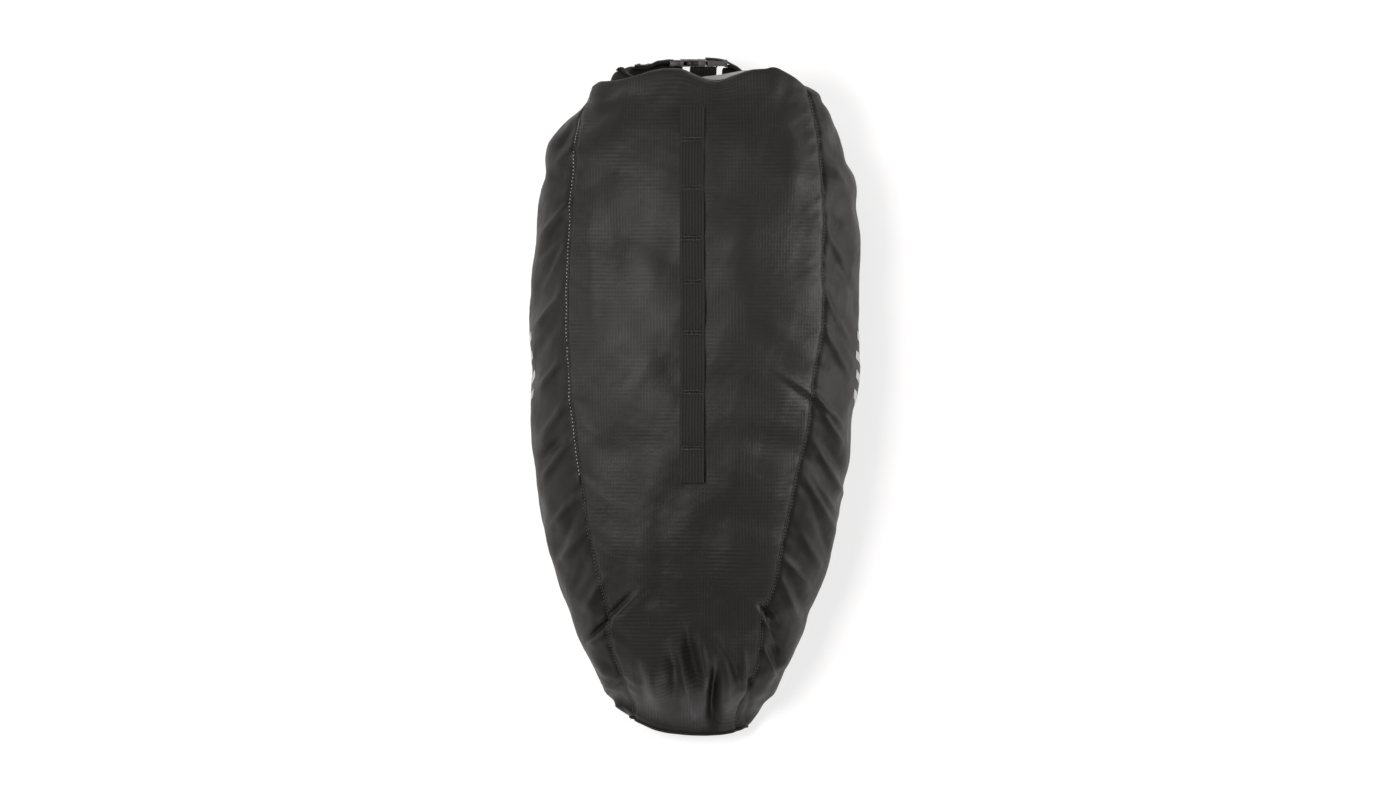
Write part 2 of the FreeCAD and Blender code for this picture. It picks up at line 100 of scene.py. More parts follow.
# Top of the roll where it shows behind the front
ROLL_TOP = [
    (-84, 257), (-74, 260), (-70, 263), (-67, 269.5), (-63, 272.5), (-58, 274.4), (-48, 276.2),
    (-40, 276.2), (-35, 278.5), (-32, 280.5), (-22, 280.5), (-19, 277.5), (-9, 277.2), (30, 273),
    (36, 272), (39, 269.5), (42, 268.6), (60, 268.6), (66, 268.8), (72, 267.8), (78, 264), (84, 258)]
FOLD_Z = 98.0
LIP_TOP = [(-2, 264), (4, 265.6), (8, 266.3), (22, 268.0), (40, 271.4), (46, 271.6)]
TUCK_ROWS = np.array([5.0, 11.0, 16.0, 22.0])   # cloth used up by the rows gathered in at the roll
COVER_RUN = 30            # cloth from the collar up to the folded edge
TUCK_RUN = 18             # and from there round to the back of the roll
TUCK = 12.0               # how far the folded edge runs back down behind the roll

# ---- daisy chain ----------------------------------------------------------
WEBBING = 20.0             # width of all the webbing
WEBBING_THICK = 1.5
RIBS = 8                   # across the webbing
RIB_HEIGHT = 0.2
RIBBON_COLUMNS = 45        # points across a strip of webbing
WEBBING_STEP = 1.0         # and between its rows
CHAIN_X = -2.2
CHAIN_TOP = 239.5
CHAIN_BOTTOM = -71.0
HIGHLIT_STITCH_END = -70.0    # down to here the left front seam's stitches are pale, a painted highlight
TACKS_Y = [213.0, 173.0, 131.0, 95.0, 53.0, 4.0, -42.0]

# ---- closure, laid out upright in an XZ plane and then leaned back ---------
RING_Y = 257.0
RING_FRONT_Z = 98.0
RING_BEND = 25.0
RING_LEFT_X = -38.0
RING_RIGHT_X = 57.0
LEFT_ARM_END = -10.3
RIGHT_ARM_END = 36.5
ROLL_HALF_Y = 13.0
ROLL_HALF_Z = 8.7
LEAN = math.radians(4.3)
ARM_Z = RING_FRONT_Z - 2 * RING_BEND
BUCKLE_LOW = RING_Y + 13.1
BUCKLE_THICK = 7.5
BUCKLE_FLOAT = 2.2        # the webbing holds the buckle's underside this far off the roll

SLEEVE_START = 38.0       # the slack end of the roll, along X
SLEEVE_STOP = 22.5
SLEEVE_SIDES = 36
SLEEVE_TOP = [(22.5, 271.6), (28, 271.6), (30, 271.2), (34, 269.2), (36.2, 267.7), (38, 266.2)]

# ---- reflective bars, printed low so that little of them shows from above ----
BARS = 4
BAR_LOW_LEFT = 51
BAR_LOW_RIGHT = 57
BAR_START_Y = -8
BAR_PITCH = 16
BAR_WIDTH = 7
BAR_HEIGHT = 24
BAR_SLANT = 8

# ---- mesh density ---------------------------------------------------------
ROWS = 118
FRONT_COLUMNS = 40
SIDE_COLUMNS = 26
BACK_COLUMNS = 40
FINE = 3                  # subdivision of the coarse grid on the visible panels
FABRIC = 0.35             # thickness of the cloth
RING_STEP = 2.2           # between the points on the straight stretches of the ring
BEVEL_SEGMENTS = 3        # of the edges of the moulded pieces
CORNER_STEPS = 4          # and of their rounded corners
FAR_FROM_SEAM = 50.0      # the weave's third coordinate on cloth with no seam close by
STITCH_PITCH = 2.8
CLOTH_FRAMES = 16
SWELLING_ROUNDS = 40      # averaging that leaves only the swelling, and that softens the wrinkles
WRINKLE_ROUNDS = 2
WRINKLE_CAP = 1.8         # the farthest the simulation may move a point
WRINKLE_SIDE = 0.6        # how much of it stays on the sides, and on the tauter front
WRINKLE_FRONT = 0.3
FOLD_STRENGTH = 1.2
GROOVE_DEPTH = 1.3        # of the stitched line in the cloth beside a seam
GROOVE_WIDTH = 2.4
ABOVE_BAG = 400.0         # rays down onto the skin start at this height
BESIDE_BAG = 300.0        # and rays in from a side start this far out
RIPSTOP_ACROSS = 2.7
RIPSTOP_ALONG = 3.4


# ---- number helpers -------------------------------------------------------
def curve_through(points):
    """A smooth function through (position, value) points."""
    at, value = np.array(points, float).T
    slope = np.diff(value) / np.diff(at)
    tangent = np.concatenate([slope[:1], (slope[:-1] + slope[1:]) / 2, slope[-1:]])

    def evaluate(x):
        x = np.clip(x, at[0], at[-1])
        i = np.clip(np.searchsorted(at, x) - 1, 0, len(at) - 2)
        h = at[i + 1] - at[i]
        t = (x - at[i]) / h
        rise = (3 * t ** 2 - 2 * t ** 3)
        return (value[i] * (1 - rise) + value[i + 1] * rise
                + h * (t ** 3 - 2 * t ** 2 + t) * tangent[i] + h * (t ** 3 - t ** 2) * tangent[i + 1])
    return evaluate


def smoothstep(low, high, x):
    t = np.clip((x - low) / (high - low), 0, 1)
    return t * t * (3 - 2 * t)


def refine(grid, steps, axis):
    """More samples along an axis of a grid, on smooth curves through the ones it has."""
    grid = np.moveaxis(grid, axis, 0)
    count = len(grid)
    at = np.linspace(0, count - 1, (count - 1) * steps + 1)
    i = np.minimum(at.astype(int), count - 2)
    t = (at - i).reshape((-1,) + (1,) * (grid.ndim - 1))
    before = grid[np.maximum(i - 1, 0)]
    start = grid[i]
    stop = grid[i + 1]
    after = grid[np.minimum(i + 2, count - 1)]
    fine = 0.5 * (2 * start + (stop - before) * t + (2 * before - 5 * start + 4 * stop - after) * t ** 2
                  + (3 * start - before - 3 * stop + after) * t ** 3)
    return np.moveaxis(fine, 0, axis)


def travelled(path):
    """Distance along a path at each of its points."""
    return np.concatenate([[0], np.cumsum(np.linalg.norm(np.diff(path, axis=0), axis=1))])


def smoothed(field, times):
    """A field on the closed skin, averaged with its neighbours along both directions."""
    for _ in range(times):
        padded = np.pad(field, ((1, 1), (0, 0), (0, 0)), mode="edge")
        field = 0.5 * field + 0.25 * (padded[2:] + padded[:-2])
        field = 0.5 * field + 0.25 * (np.roll(field, 1, 1) + np.roll(field, -1, 1))
    return field


def running_mean(values, count):
    """Each value averaged with its neighbours, count at a time."""
    return np.convolve(np.pad(values, count // 2, mode="edge"), np.ones(count) / count, mode="valid")


def unit(vectors):
    return vectors / np.maximum(np.linalg.norm(vectors, axis=-1, keepdims=True), 1e-9)


def grid_normals(points):
    """Outward normals of a grid whose rows run along +Y and whose columns run right, over, left."""
    return unit(np.cross(np.gradient(points, axis=0), np.gradient(points, axis=1)))


def waves(count, shortest, longest, seed):
    """Smooth noise in two directions: a sum of plane waves, about -1 to 1."""
    random = np.random.default_rng(seed)
    length = random.uniform(shortest, longest, count)
    angle = random.uniform(0, math.tau, count)
    phase = random.uniform(0, math.tau, count)

    def evaluate(u, v):
        total = 0
        for k in range(count):
            along = u * math.cos(angle[k]) + v * math.sin(angle[k])
            total = total + np.sin(math.tau * along / length[k] + phase[k])
        return total / math.sqrt(count)
    return evaluate


def fold(u, v, start, stop, width, height):
    """A long bump, or a valley where height is negative, from start to stop, fading at its ends."""
    (u0, v0), (u1, v1) = start, stop
    length = math.hypot(u1 - u0, v1 - v0)
    du, dv = (u1 - u0) / length, (v1 - v0) / length
    along = (u - u0) * du + (v - v0) * dv
    across = (v - v0) * du - (u - u0) * dv
    fade = smoothstep(-0.3 * length, 0.45 * length, along) * smoothstep(1.25 * length, 0.75 * length, along)
    return height * np.exp(-(across / width) ** 2) * fade


# ---- mesh helpers ---------------------------------------------------------
def put_in_scene(name, data):
    """An object that shows a mesh, a light or a camera."""
    made = bpy.data.objects.new(name, data)
    bpy.context.scene.collection.objects.link(made)
    return made


def add_object(name, points, faces):
    """A smooth-shaded mesh object from points in millimetres."""
    mesh = bpy.data.meshes.new(name)
    mesh.from_pydata((np.asarray(points, float).reshape(-1, 3) * MM).tolist(), [], faces)
    mesh.update()
    mesh.polygons.foreach_set("use_smooth", [True] * len(mesh.polygons))
    return put_in_scene(name, mesh)


def grid_faces(rows, columns, offset=0, flip=False, closed=False):
    """Quads of a grid of points stored row by row."""
    faces = []
    span = columns if closed else columns - 1
    for r in range(rows - 1):
        for c in range(span):
            a = offset + r * columns + c
            b = offset + r * columns + (c + 1) % columns
            quad = (a, b, b + columns, a + columns)
            faces.append(quad[::-1] if flip else quad)
    return faces


def capped_faces(rows, columns):
    """Quads of a closed tube of points, and one face over each end."""
    faces = grid_faces(rows, columns, 0, True, True)
    faces.append(tuple(range(columns)))
    faces.append(tuple(range((rows - 1) * columns, rows * columns))[::-1])
    return faces


def set_vectors(target, name, values):
    """A point attribute that the materials read."""
    attribute = target.data.attributes.new(name, "FLOAT_VECTOR", "POINT")
    attribute.data.foreach_set("vector", np.asarray(values, np.float32).ravel())


def cloth_sheet(name, points, weave, thickness=FABRIC):
    """A closed thin sheet: the outer grid, the same grid one thickness further in, and a rim."""
    rows, columns = points.shape[:2]
    inner = points - grid_normals(points) * thickness
    count = rows * columns
    faces = grid_faces(rows, columns, 0, True) + grid_faces(rows, columns, count, False)
    border = [(0, c) for c in range(columns - 1)] + [(r, columns - 1) for r in range(rows - 1)]
    border += [(rows - 1, c) for c in range(columns - 1, 0, -1)] + [(r, 0) for r in range(rows - 1, 0, -1)]
    ids = [r * columns + c for r, c in border]
    for a, b in zip(ids, ids[1:] + ids[:1]):
        faces.append((a, b, b + count, a + count))
    both = np.concatenate([points.reshape(-1, 3), inner.reshape(-1, 3)])
    made = add_object(name, both, faces)
    set_vectors(made, "weave", np.concatenate([weave.reshape(-1, 3), weave.reshape(-1, 3)]))
    return made


def flat_weave(points):
    """Weave coordinates of cloth that lies across the bag, well away from its seams."""
    return np.stack([points[..., 0], points[..., 2], np.full(points.shape[:-1], FAR_FROM_SEAM)], axis=-1)


def frames_along(path):
    """Unit tangents of an open path."""
    return unit(np.gradient(path, axis=0))


def tube(path, radius, sides=6):
    """Points and faces of a round thread with pointed ends."""
    path = np.asarray(path, float)
    tangent = frames_along(path)
    helper = np.where(np.abs(tangent[:, 2:3]) > 0.9, [[1.0, 0, 0]], [[0, 0, 1.0]])
    first = unit(np.cross(tangent, helper))
    second = np.cross(tangent, first)
    taper = np.ones(len(path))
    taper[0] = taper[-1] = 0.35
    turn = np.arange(sides) * math.tau / sides
    ring = (first[:, None] * np.cos(turn)[None, :, None] + second[:, None] * np.sin(turn)[None, :, None])
    points = path[:, None] + ring * (radius * taper)[:, None, None]
    return points.reshape(-1, 3), capped_faces(len(path), sides)


def join_parts(name, parts):
    """One object from several (points, faces) parts."""
    points, faces, offset = [], [], 0
    for part_points, part_faces in parts:
        points.append(np.asarray(part_points, float).reshape(-1, 3))
        faces.extend(tuple(i + offset for i in face) for face in part_faces)
        offset += len(points[-1])
    return add_object(name, np.concatenate(points), faces)


def resample(path, step):
    """A path through the given points, smoothed, with even steps."""
    fine = refine(np.asarray(path, float), 12, 0)
    travel = travelled(fine)
    at = np.linspace(0, travel[-1], max(int(travel[-1] / step), 2) + 1)
    return np.stack([np.interp(at, travel, fine[:, k]) for k in range(3)], axis=1)


def ribbon(path, across, width, thick):
    """Woven webbing: a ribbed strip along a path. across holds the width direction at each point."""
    across = unit(np.broadcast_to(across, path.shape).astype(float))
    normal = unit(np.cross(frames_along(path), across))
    side = np.linspace(-0.5, 0.5, RIBBON_COLUMNS)
    rib = RIB_HEIGHT * np.abs(np.sin(math.pi * RIBS * (side + 0.5)))
    edge = np.sqrt(np.clip(1 - (np.abs(side) * 2) ** 10, 0, 1))
    lift = (thick / 2 - RIB_HEIGHT) * edge + rib * edge
    top = (path[:, None] + across[:, None] * (side * width)[None, :, None]
           + normal[:, None] * lift[None, :, None])
    low = (path[:, None] + across[:, None] * (side * width)[None, :, None]
           - normal[:, None] * lift[None, :, None])
    loop = np.concatenate([top, low[:, -2:0:-1]], axis=1)
    rows, count = loop.shape[:2]
    faces = grid_faces(rows, count, 0, False, True)
    for row, flip in ((0, True), (rows - 1, False)):
        base = row * count
        for c in range(RIBBON_COLUMNS - 1):
            a, b = base + c, base + c + 1
            far_a = base + (count - c) % count
            far_b = base + (count - c - 1)
            if c == 0:
                quad = (a, b, far_b)
            elif c == RIBBON_COLUMNS - 2:
                quad = (a, b, far_a)
            else:
                quad = (a, b, far_b, far_a)
            faces.append(quad[::-1] if flip else quad)
    travel = travelled(path)
    u = np.concatenate([side * width, side[-2:0:-1] * width])
    weave = np.zeros(loop.shape)
    weave[:, :, 0] = u[None]
    weave[:, :, 1] = travel[:, None]
    return loop.reshape(-1, 3), faces, weave.reshape(-1, 3)


def webbing_object(name, strips):
    """One object from several ribbons, with their weave coordinates."""
    made = join_parts(name, [(points, faces) for points, faces, _ in strips])
    set_vectors(made, "weave", np.concatenate([weave for _, _, weave in strips]))
    return made


# ---- the skin of the bag ----------------------------------------------------
left_reach = curve_through(LEFT_REACH)
right_reach = curve_through(RIGHT_REACH)
crown = curve_through(CROWN)
underside = curve_through(UNDERSIDE)
left_seam = curve_through(LEFT_SEAM)
right_seam = curve_through(RIGHT_SEAM)
nose_end = curve_through(NOSE_END)
fold_edge = curve_through(FOLD_EDGE)
roll_top = curve_through(ROLL_TOP)


def half_section(y, reach):
    """From the middle of the underside out to the widest point and up to the crown."""
    low = underside(y)
    high = crown(y)
    flat = FLAT_SHARE * reach
    widest = low + WIDEST_SHARE * (high - low)
    turn = np.linspace(0, math.pi / 2, 60)
    base_x = np.linspace(0, flat, 30)[:-1]
    lower_x = flat + (reach - flat) * np.sin(turn)
    lower_z = widest - (widest - low) * np.cos(turn)
    rise = np.linspace(0, math.pi / 2, 130)[1:]
    upper_x = reach * np.maximum(np.cos(rise), 0) ** ROUNDNESS
    upper_z = widest + (high - widest) * np.sin(rise) ** ROUNDNESS
    x = np.concatenate([base_x, lower_x, upper_x])
    z = np.concatenate([np.full(len(base_x), low), lower_z, upper_z])
    return x, z, len(base_x), len(base_x) + len(lower_x)


def arc_at(arc, values, wanted):
    """Arc length where a rising or falling run of values reaches the wanted one."""
    if values[0] > values[-1]:
        return np.interp(wanted, values[::-1], arc[::-1])
    return np.interp(wanted, values, arc)


def nose_shift(x, y):
    """How far the curved nose seam moves a point of the skin along Y."""
    return (nose_end(x) - NOSE_Y) * smoothstep(NOSE_BEND_Y, NOSE_Y, y)


def shifted_reach(reach, side, y):
    """The bag's reach at the place where a row's widest point ends up."""
    widest = float(reach(y))
    for _ in range(4):
        widest = float(reach(y + nose_shift(side * widest, y)))
    return widest


def section_row(y):
    """One row of the skin: points and their arc length from the crown line, to the right positive."""
    right_x, right_z, start, turn = half_section(y, shifted_reach(right_reach, 1, y))
    left_x, left_z, _, _ = half_section(y, shifted_reach(left_reach, -1, y))
    right_arc = np.concatenate([[0], np.cumsum(np.hypot(np.diff(right_x), np.diff(right_z)))])
    left_arc = np.concatenate([[0], np.cumsum(np.hypot(np.diff(left_x), np.diff(left_z)))])
    low = float(underside(y))
    seam_z = low + min(BACK_SEAM_Z, 0.5 * (right_z[turn] - low))
    limits = []
    for arc, x, z, seam in ((right_arc, right_x, right_z, float(right_seam(y))),
                            (left_arc, left_x, left_z, -float(left_seam(y)))):
        back = arc_at(arc[start:turn], z[start:turn], seam_z)
        front = arc_at(arc[turn - 1:], x[turn - 1:], min(seam, 0.985 * x[turn - 1]))
        limits.append((back, front))
    (right_back, right_front), (left_back, left_front) = limits
    right_side = np.linspace(right_back, right_front, SIDE_COLUMNS + 1)
    right_half = np.linspace(right_front, right_arc[-1], FRONT_COLUMNS // 2 + 1)[1:]
    left_half = np.linspace(left_arc[-1], left_front, FRONT_COLUMNS // 2 + 1)[1:]
    left_side = np.linspace(left_front, left_back, SIDE_COLUMNS + 1)[1:]
    left_base = np.linspace(left_back, 0, BACK_COLUMNS // 2 + 1)[1:]
    right_base = np.linspace(0, right_back, BACK_COLUMNS // 2 + 1)[1:-1]
    runs = [(1, right_side), (1, right_half), (-1, left_half), (-1, left_side), (-1, left_base),
            (1, right_base)]
    x, z, arc = [], [], []
    for side, run in runs:
        half_arc, half_x, half_z = (right_arc, right_x, right_z) if side > 0 else (left_arc, left_x, left_z)
        x.append(side * np.interp(run, half_arc, half_x))
        z.append(np.interp(run, half_arc, half_z))
        arc.append(side * (half_arc[-1] - run))
    return np.concatenate(x), np.concatenate(z), np.concatenate(arc)


FRONT = slice(SIDE_COLUMNS, SIDE_COLUMNS + FRONT_COLUMNS + 1)
RIGHT = slice(0, SIDE_COLUMNS + 1)
LEFT = slice(SIDE_COLUMNS + FRONT_COLUMNS, 2 * SIDE_COLUMNS + FRONT_COLUMNS + 1)
BACK_START = 2 * SIDE_COLUMNS + FRONT_COLUMNS


def coarse_skin():
    """Points (rows, columns, 3), arc lengths and row positions of the whole closed skin."""
    even = np.linspace(0, 1, ROWS)
    rows_y = NOSE_Y + (COLLAR_Y - NOSE_Y) * (even + 0.035 * np.sin(math.tau * even) * -1)
    points, arcs = [], []
    for y in rows_y:
        x, z, arc = section_row(y)
        points.append(np.stack([x, y + nose_shift(x, y), z], axis=1))
        arcs.append(arc)
    return np.array(points), np.array(arcs), rows_y


def settle(points, pinned):
    """A short cloth simulation under inner pressure. Its wrinkles are kept, its swelling isn't."""
    rows, columns = points.shape[:2]
    work = add_object("cloth_work", points, capped_faces(rows, columns))
    group = work.vertex_groups.new(name="pin")
    for weight in np.unique(pinned):
        if weight > 0:
            group.add(np.flatnonzero(pinned.ravel() == weight).tolist(), float(weight), "REPLACE")
    cloth = work.modifiers.new("Cloth", "CLOTH")
    settings = cloth.settings
    settings.quality = 5
    settings.mass = 0.15
    settings.tension_stiffness = 30
    settings.compression_stiffness = 12
    settings.shear_stiffness = 8
    settings.bending_stiffness = 0.12
    settings.vertex_group_mass = "pin"
    settings.use_pressure = True
    settings.uniform_pressure_force = 3.0
    settings.shrink_min = -0.035
    settings.effector_weights.gravity = 0
    cloth.collision_settings.use_collision = False
    scene = bpy.context.scene
    for frame_number in range(1, CLOTH_FRAMES + 1):
        scene.frame_set(frame_number)
    settled = work.evaluated_get(bpy.context.evaluated_depsgraph_get()).data
    found = np.empty(len(settled.vertices) * 3)
    settled.vertices.foreach_get("co", found)
    scene.frame_set(1)
    bpy.data.objects.remove(work, do_unlink=True)
    moved = found.reshape(points.shape) / MM - points
    wrinkle = smoothed(moved - smoothed(moved, SWELLING_ROUNDS), WRINKLE_ROUNDS)
    kept = np.full(columns, WRINKLE_SIDE)
    kept[SIDE_COLUMNS - 2:SIDE_COLUMNS + FRONT_COLUMNS + 3] = WRINKLE_FRONT
    wrinkle = wrinkle * kept[None, :, None]
    size = np.linalg.norm(wrinkle, axis=2, keepdims=True)
    return points + wrinkle * (WRINKLE_CAP * np.tanh(size / WRINKLE_CAP) / np.maximum(size, 1e-6))


def main_skin():
    """The whole skin, swollen a little and wrinkled by the cloth simulation."""
    points, arcs, rows_y = coarse_skin()
    y = points[:, :, 1]
    swell = waves(7, 70, 170, 3)
    soft = waves(9, 34, 75, 5)
    upper = np.zeros(points.shape[1])
    upper[:BACK_START + 1] = 1
    bulge = 1.1 * swell(arcs, y) + 0.55 * soft(arcs, y)
    ends = smoothstep(NOSE_Y, NOSE_Y + 30, y) * smoothstep(COLLAR_Y, COLLAR_Y - 40, y)
    points = points + grid_normals(points) * (bulge * ends * upper[None])[:, :, None]
    pinned = np.zeros(points.shape[:2])
    for seam in (0, SIDE_COLUMNS, SIDE_COLUMNS + FRONT_COLUMNS, BACK_START):
        pinned[:, seam] = 0.9
    pinned[:, BACK_START:] = 1
    pinned[:, 0] = 1
    pinned[:2] = 1
    pinned[-3:] = 1
    points = settle(points, pinned)
    points[:, :, 2] = np.maximum(points[:, :, 2], 0.0)
    return points, arcs, rows_y


# ---- folds and wrinkles, placed in plan ------------------------------------
# Each: start (X, Y), end (X, Y), width, height. Negative heights are valleys.
NOSE_FOLDS = [
    ((-6.7, -192), (2.5, -236), 5.2, -4.4), ((-22, -208), (-13, -256), 6.6, -4.2),
    ((17, -226), (14.5, -272), 4.4, -6.6), ((-14.3, -206), (-6, -246), 3.2, 3.2),
    ((3.5, -202), (11.5, -240), 3.8, 4.0), ((40, -210), (42, -246), 2.8, 2.8),
    ((27, -222), (24, -262), 5.0, 2.8), ((20, -200), (37, -236), 5.4, -2.8),
    ((-38, -222), (-30, -262), 6.0, 2.2), ((-48, -222), (-43, -256), 3.0, -1.8),
    ((-47, -154), (-38, -172), 5.0, -0.8), ((-4, -240), (0, -268), 4.0, 2.4),
    ((-34, -168), (-20, -200), 5.0, 0.8), ((46, -226), (45, -258), 2.4, -2.0),
    ((-10, -204), (-18, -248), 8.0, -3.0), ((18, -232), (17, -268), 6.0, -3.0),
    ((-24, -236), (-12, -268), 7.0, -2.0)]
SEAM_CREASES = [
    ((-52, -163), (-72, -182), 1.9, -4.2), ((-68, -181), (-90, -202), 2.2, -4.0),
    ((-42, -158), (-64, -178), 4.6, 2.4), ((-60, -178), (-78, -186), 2.6, 2.2),
    ((-72, -196), (-88, -206), 5.0, 1.6), ((-76, -150), (-90, -176), 4.0, 1.8),
    ((52, -170), (64, -184), 2.2, -3.0), ((59, -176), (69, -190), 3.0, -2.6),
    ((58, -186), (67, -206), 2.0, 3.4), ((61, -184), (72, -226), 3.0, -4.2),
    ((56, -208), (65, -230), 2.0, 2.8), ((61, -206), (71, -232), 2.6, -2.4),
    ((72, 18), (103, -2), 2.6, 1.7), ((100, 0), (120, -22), 2.4, 1.9), ((74, 14), (100, -8), 4.5, -1.2),
    ((98, -66), (116, -96), 2.6, 1.5), ((103, -8), (121, -38), 2.4, 1.5)]
RIGHT_WRINKLES = [
    ((104, 92), (130, 44), 3.0, 1.7), ((112, 84), (134, 34), 4.2, -1.5), ((106, 58), (126, 20), 3.0, 1.4),
    ((107, 142), (130, 96), 3.4, 1.4), ((112, 128), (134, 84), 4.4, -1.2),
    ((98, -36), (124, -84), 3.0, 1.6), ((106, -34), (128, -72), 4.0, -1.4),
    ((90, -64), (116, -112), 3.2, 1.5), ((97, -88), (112, -130), 3.6, -1.3),
    ((74, -134), (94, -158), 3.0, 1.4), ((70, -148), (84, -182), 3.2, 1.6),
    ((80, -150), (92, -180), 3.8, -1.4), ((88, -112), (104, -142), 3.4, 1.3),
    ((112, 196), (128, 162), 5.0, 1.3), ((106, 178), (122, 140), 4.4, -1.1)]
LEFT_WRINKLES = [
    ((-102, 162), (-126, 134), 4.0, 1.6), ((-106, 148), (-130, 116), 4.2, -1.5),
    ((-106, 126), (-129, 84), 3.2, 1.5), ((-112, 120), (-133, 76), 4.0, -1.2),
    ((-108, 88), (-133, 56), 3.6, 1.6), ((-110, 70), (-132, 36), 4.0, -1.2),
    ((-108, 34), (-127, 8), 3.4, 1.5), ((-103, 2), (-125, -32), 3.6, 1.3),
    ((-102, -34), (-126, -68), 3.2, 1.7), ((-112, -36), (-128, -50), 3.0, -2.0),
    ((-96, -80), (-118, -106), 3.4, 1.5), ((-98, -96), (-114, -128), 3.8, -1.5),
    ((-90, -112), (-112, -136), 3.4, 1.4), ((-86, -132), (-100, -160), 4.0, -1.2),
    ((-98, 208), (-116, 190), 5.0, 1.6), ((-100, 226), (-114, 206), 3.6, -1.6),
    ((-80, -222), (-70, -250), 5.0, 1.2)]
FRONT_SWELLS = [
    ((-74, 176), (-66, 96), 9.0, -1.7), ((-88, 150), (-84, 60), 6.0, 1.0),
    ((-46, 62), (-8, 6), 11.0, -1.6), ((-60, 130), (-20, 86), 16.0, 1.5),
    ((-34, 30), (-72, -6), 12.0, 1.3), ((-88, -6), (-74, -52), 8.0, -1.2),
    ((30, 226), (92, 168), 16.0, 1.2), ((20, 122), (86, 104), 10.0, -0.9), ((48, 70), (96, 34), 9.0, 0.9),
    ((22, -30), (84, -44), 12.0, -1.0), ((-50, -100), (-44, -168), 8.0, 1.3),
    ((-30, -96), (-26, -160), 7.0, -0.9), ((-96, 222), (-58, 252), 7.0, -1.4),
    ((-40, 236), (-10, 262), 7.0, 1.2), ((8, 232), (24, 262), 8.0, -2.0),
    ((46, 238), (70, 262), 9.0, 1.4), ((80, 232), (98, 206), 6.0, -1.0)]


def relief(x, y, z):
    """Height of all the placed folds at a point of the skin."""
    total = 0
    for placed in NOSE_FOLDS + SEAM_CREASES + RIGHT_WRINKLES + LEFT_WRINKLES + FRONT_SWELLS:
        total = total + fold(x, y, *placed)
    strength = FOLD_STRENGTH * (1 + 0.35 * smoothstep(95, 110, np.abs(x)))
    strength = strength * (1 - 0.6 * np.exp(-((z - WIDEST_SHARE * crown(y)) / 16.0) ** 2))
    return strength * total * smoothstep(22, 46, z + 14 * smoothstep(-220, -270, y))


def seam_pull(distance, y, seed):
    """The stitched line sits in a groove, and the cloth beside it is gathered into small puckers."""
    pucker = waves(6, 9, 19, seed)
    gather = 0.5 * pucker(y + 0.5 * distance, 0.3 * distance)
    puckers = gather * np.exp(-distance / 10) * (1 - np.exp(-distance / 2.2))
    return puckers - GROOVE_DEPTH * np.exp(-(distance / GROOVE_WIDTH) ** 2)


def panel(points, arcs, rows_y, seeds):
    """The fine grid of one panel with its folds, and its weave coordinates."""
    part = refine(refine(points, FINE, 0), FINE, 1)
    arc = refine(refine(arcs, FINE, 0), FINE, 1)
    travel = refine(rows_y, FINE, 0)[:, None] + 0 * arc
    x, y, z = part[:, :, 0], part[:, :, 1], part[:, :, 2]
    height = relief(x, y, z)
    for edge, seed in zip((arc[:, :1], arc[:, -1:]), seeds):
        height = height + seam_pull(np.abs(arc - edge), travel, seed)
    micro = waves(12, 7, 22, 21)
    height = height + 0.10 * micro(arc, travel)
    part = part + grid_normals(part) * height[:, :, None]
    seam_distance = np.minimum(np.abs(arc - arc[:, :1]), np.abs(arc - arc[:, -1:]))
    return part, np.stack([arc, travel, seam_distance], axis=2)


def front_cover(points, arcs, rows_y):
    """The front panel's rows that run on over the rolled mouth and down behind it."""
    last = points[-1, FRONT]
    x0, y0, z0 = last.T
    edge_y = fold_edge(x0)
    edge_z = np.minimum(FOLD_Z, z0 - 8)
    slope = (z0 - points[-4, FRONT, 2]) / np.maximum(y0 - points[-4, FRONT, 1], 1.0)
    reach = 0.45 * (edge_y - y0)
    rise = edge_z + 0.55 * (z0 - edge_z)
    rows, heights = [], []
    for share in (0.14, 0.3, 0.46, 0.62, 0.76, 0.88, 1.0):
        a, b, c, d = (1 - share) ** 3, 3 * share * (1 - share) ** 2, 3 * share ** 2 * (1 - share), share ** 3
        rows.append(np.stack([x0 * (1 - 0.02 * share), a * y0 + b * (y0 + reach) + (c + d) * edge_y,
                              a * z0 + b * (z0 + slope * reach) + c * rise + d * edge_z], axis=1))
        heights.append(rows_y[-1] + COVER_RUN * share)
    for turn in np.radians([25, 50, 75, 90]):
        rows.append(np.stack([x0 * 0.98, edge_y - TUCK * (1 - math.cos(turn)),
                              edge_z - TUCK * math.sin(turn)], axis=1))
        heights.append(rows_y[-1] + COVER_RUN + TUCK_RUN * turn / (math.pi / 2))
    arc = np.repeat(arcs[-1:, FRONT], len(rows), axis=0)
    return np.array(rows), arc, np.array(heights)


def ring_centre(points):
    """The nearest point of the closed ring line of the mouth, in the leaned frame, for XZ points."""
    x = np.clip(points[:, 0], RING_LEFT_X, RING_RIGHT_X)
    middle = RING_FRONT_Z - RING_BEND
    away = np.stack([points[:, 0] - x, points[:, 2] - middle], axis=1)
    inside = (points[:, 0] > RING_LEFT_X) & (points[:, 0] < RING_RIGHT_X)
    away[inside, 0] = 0
    away = unit(away)
    return np.stack([x + away[:, 0] * RING_BEND, middle + away[:, 1] * RING_BEND], axis=1), away


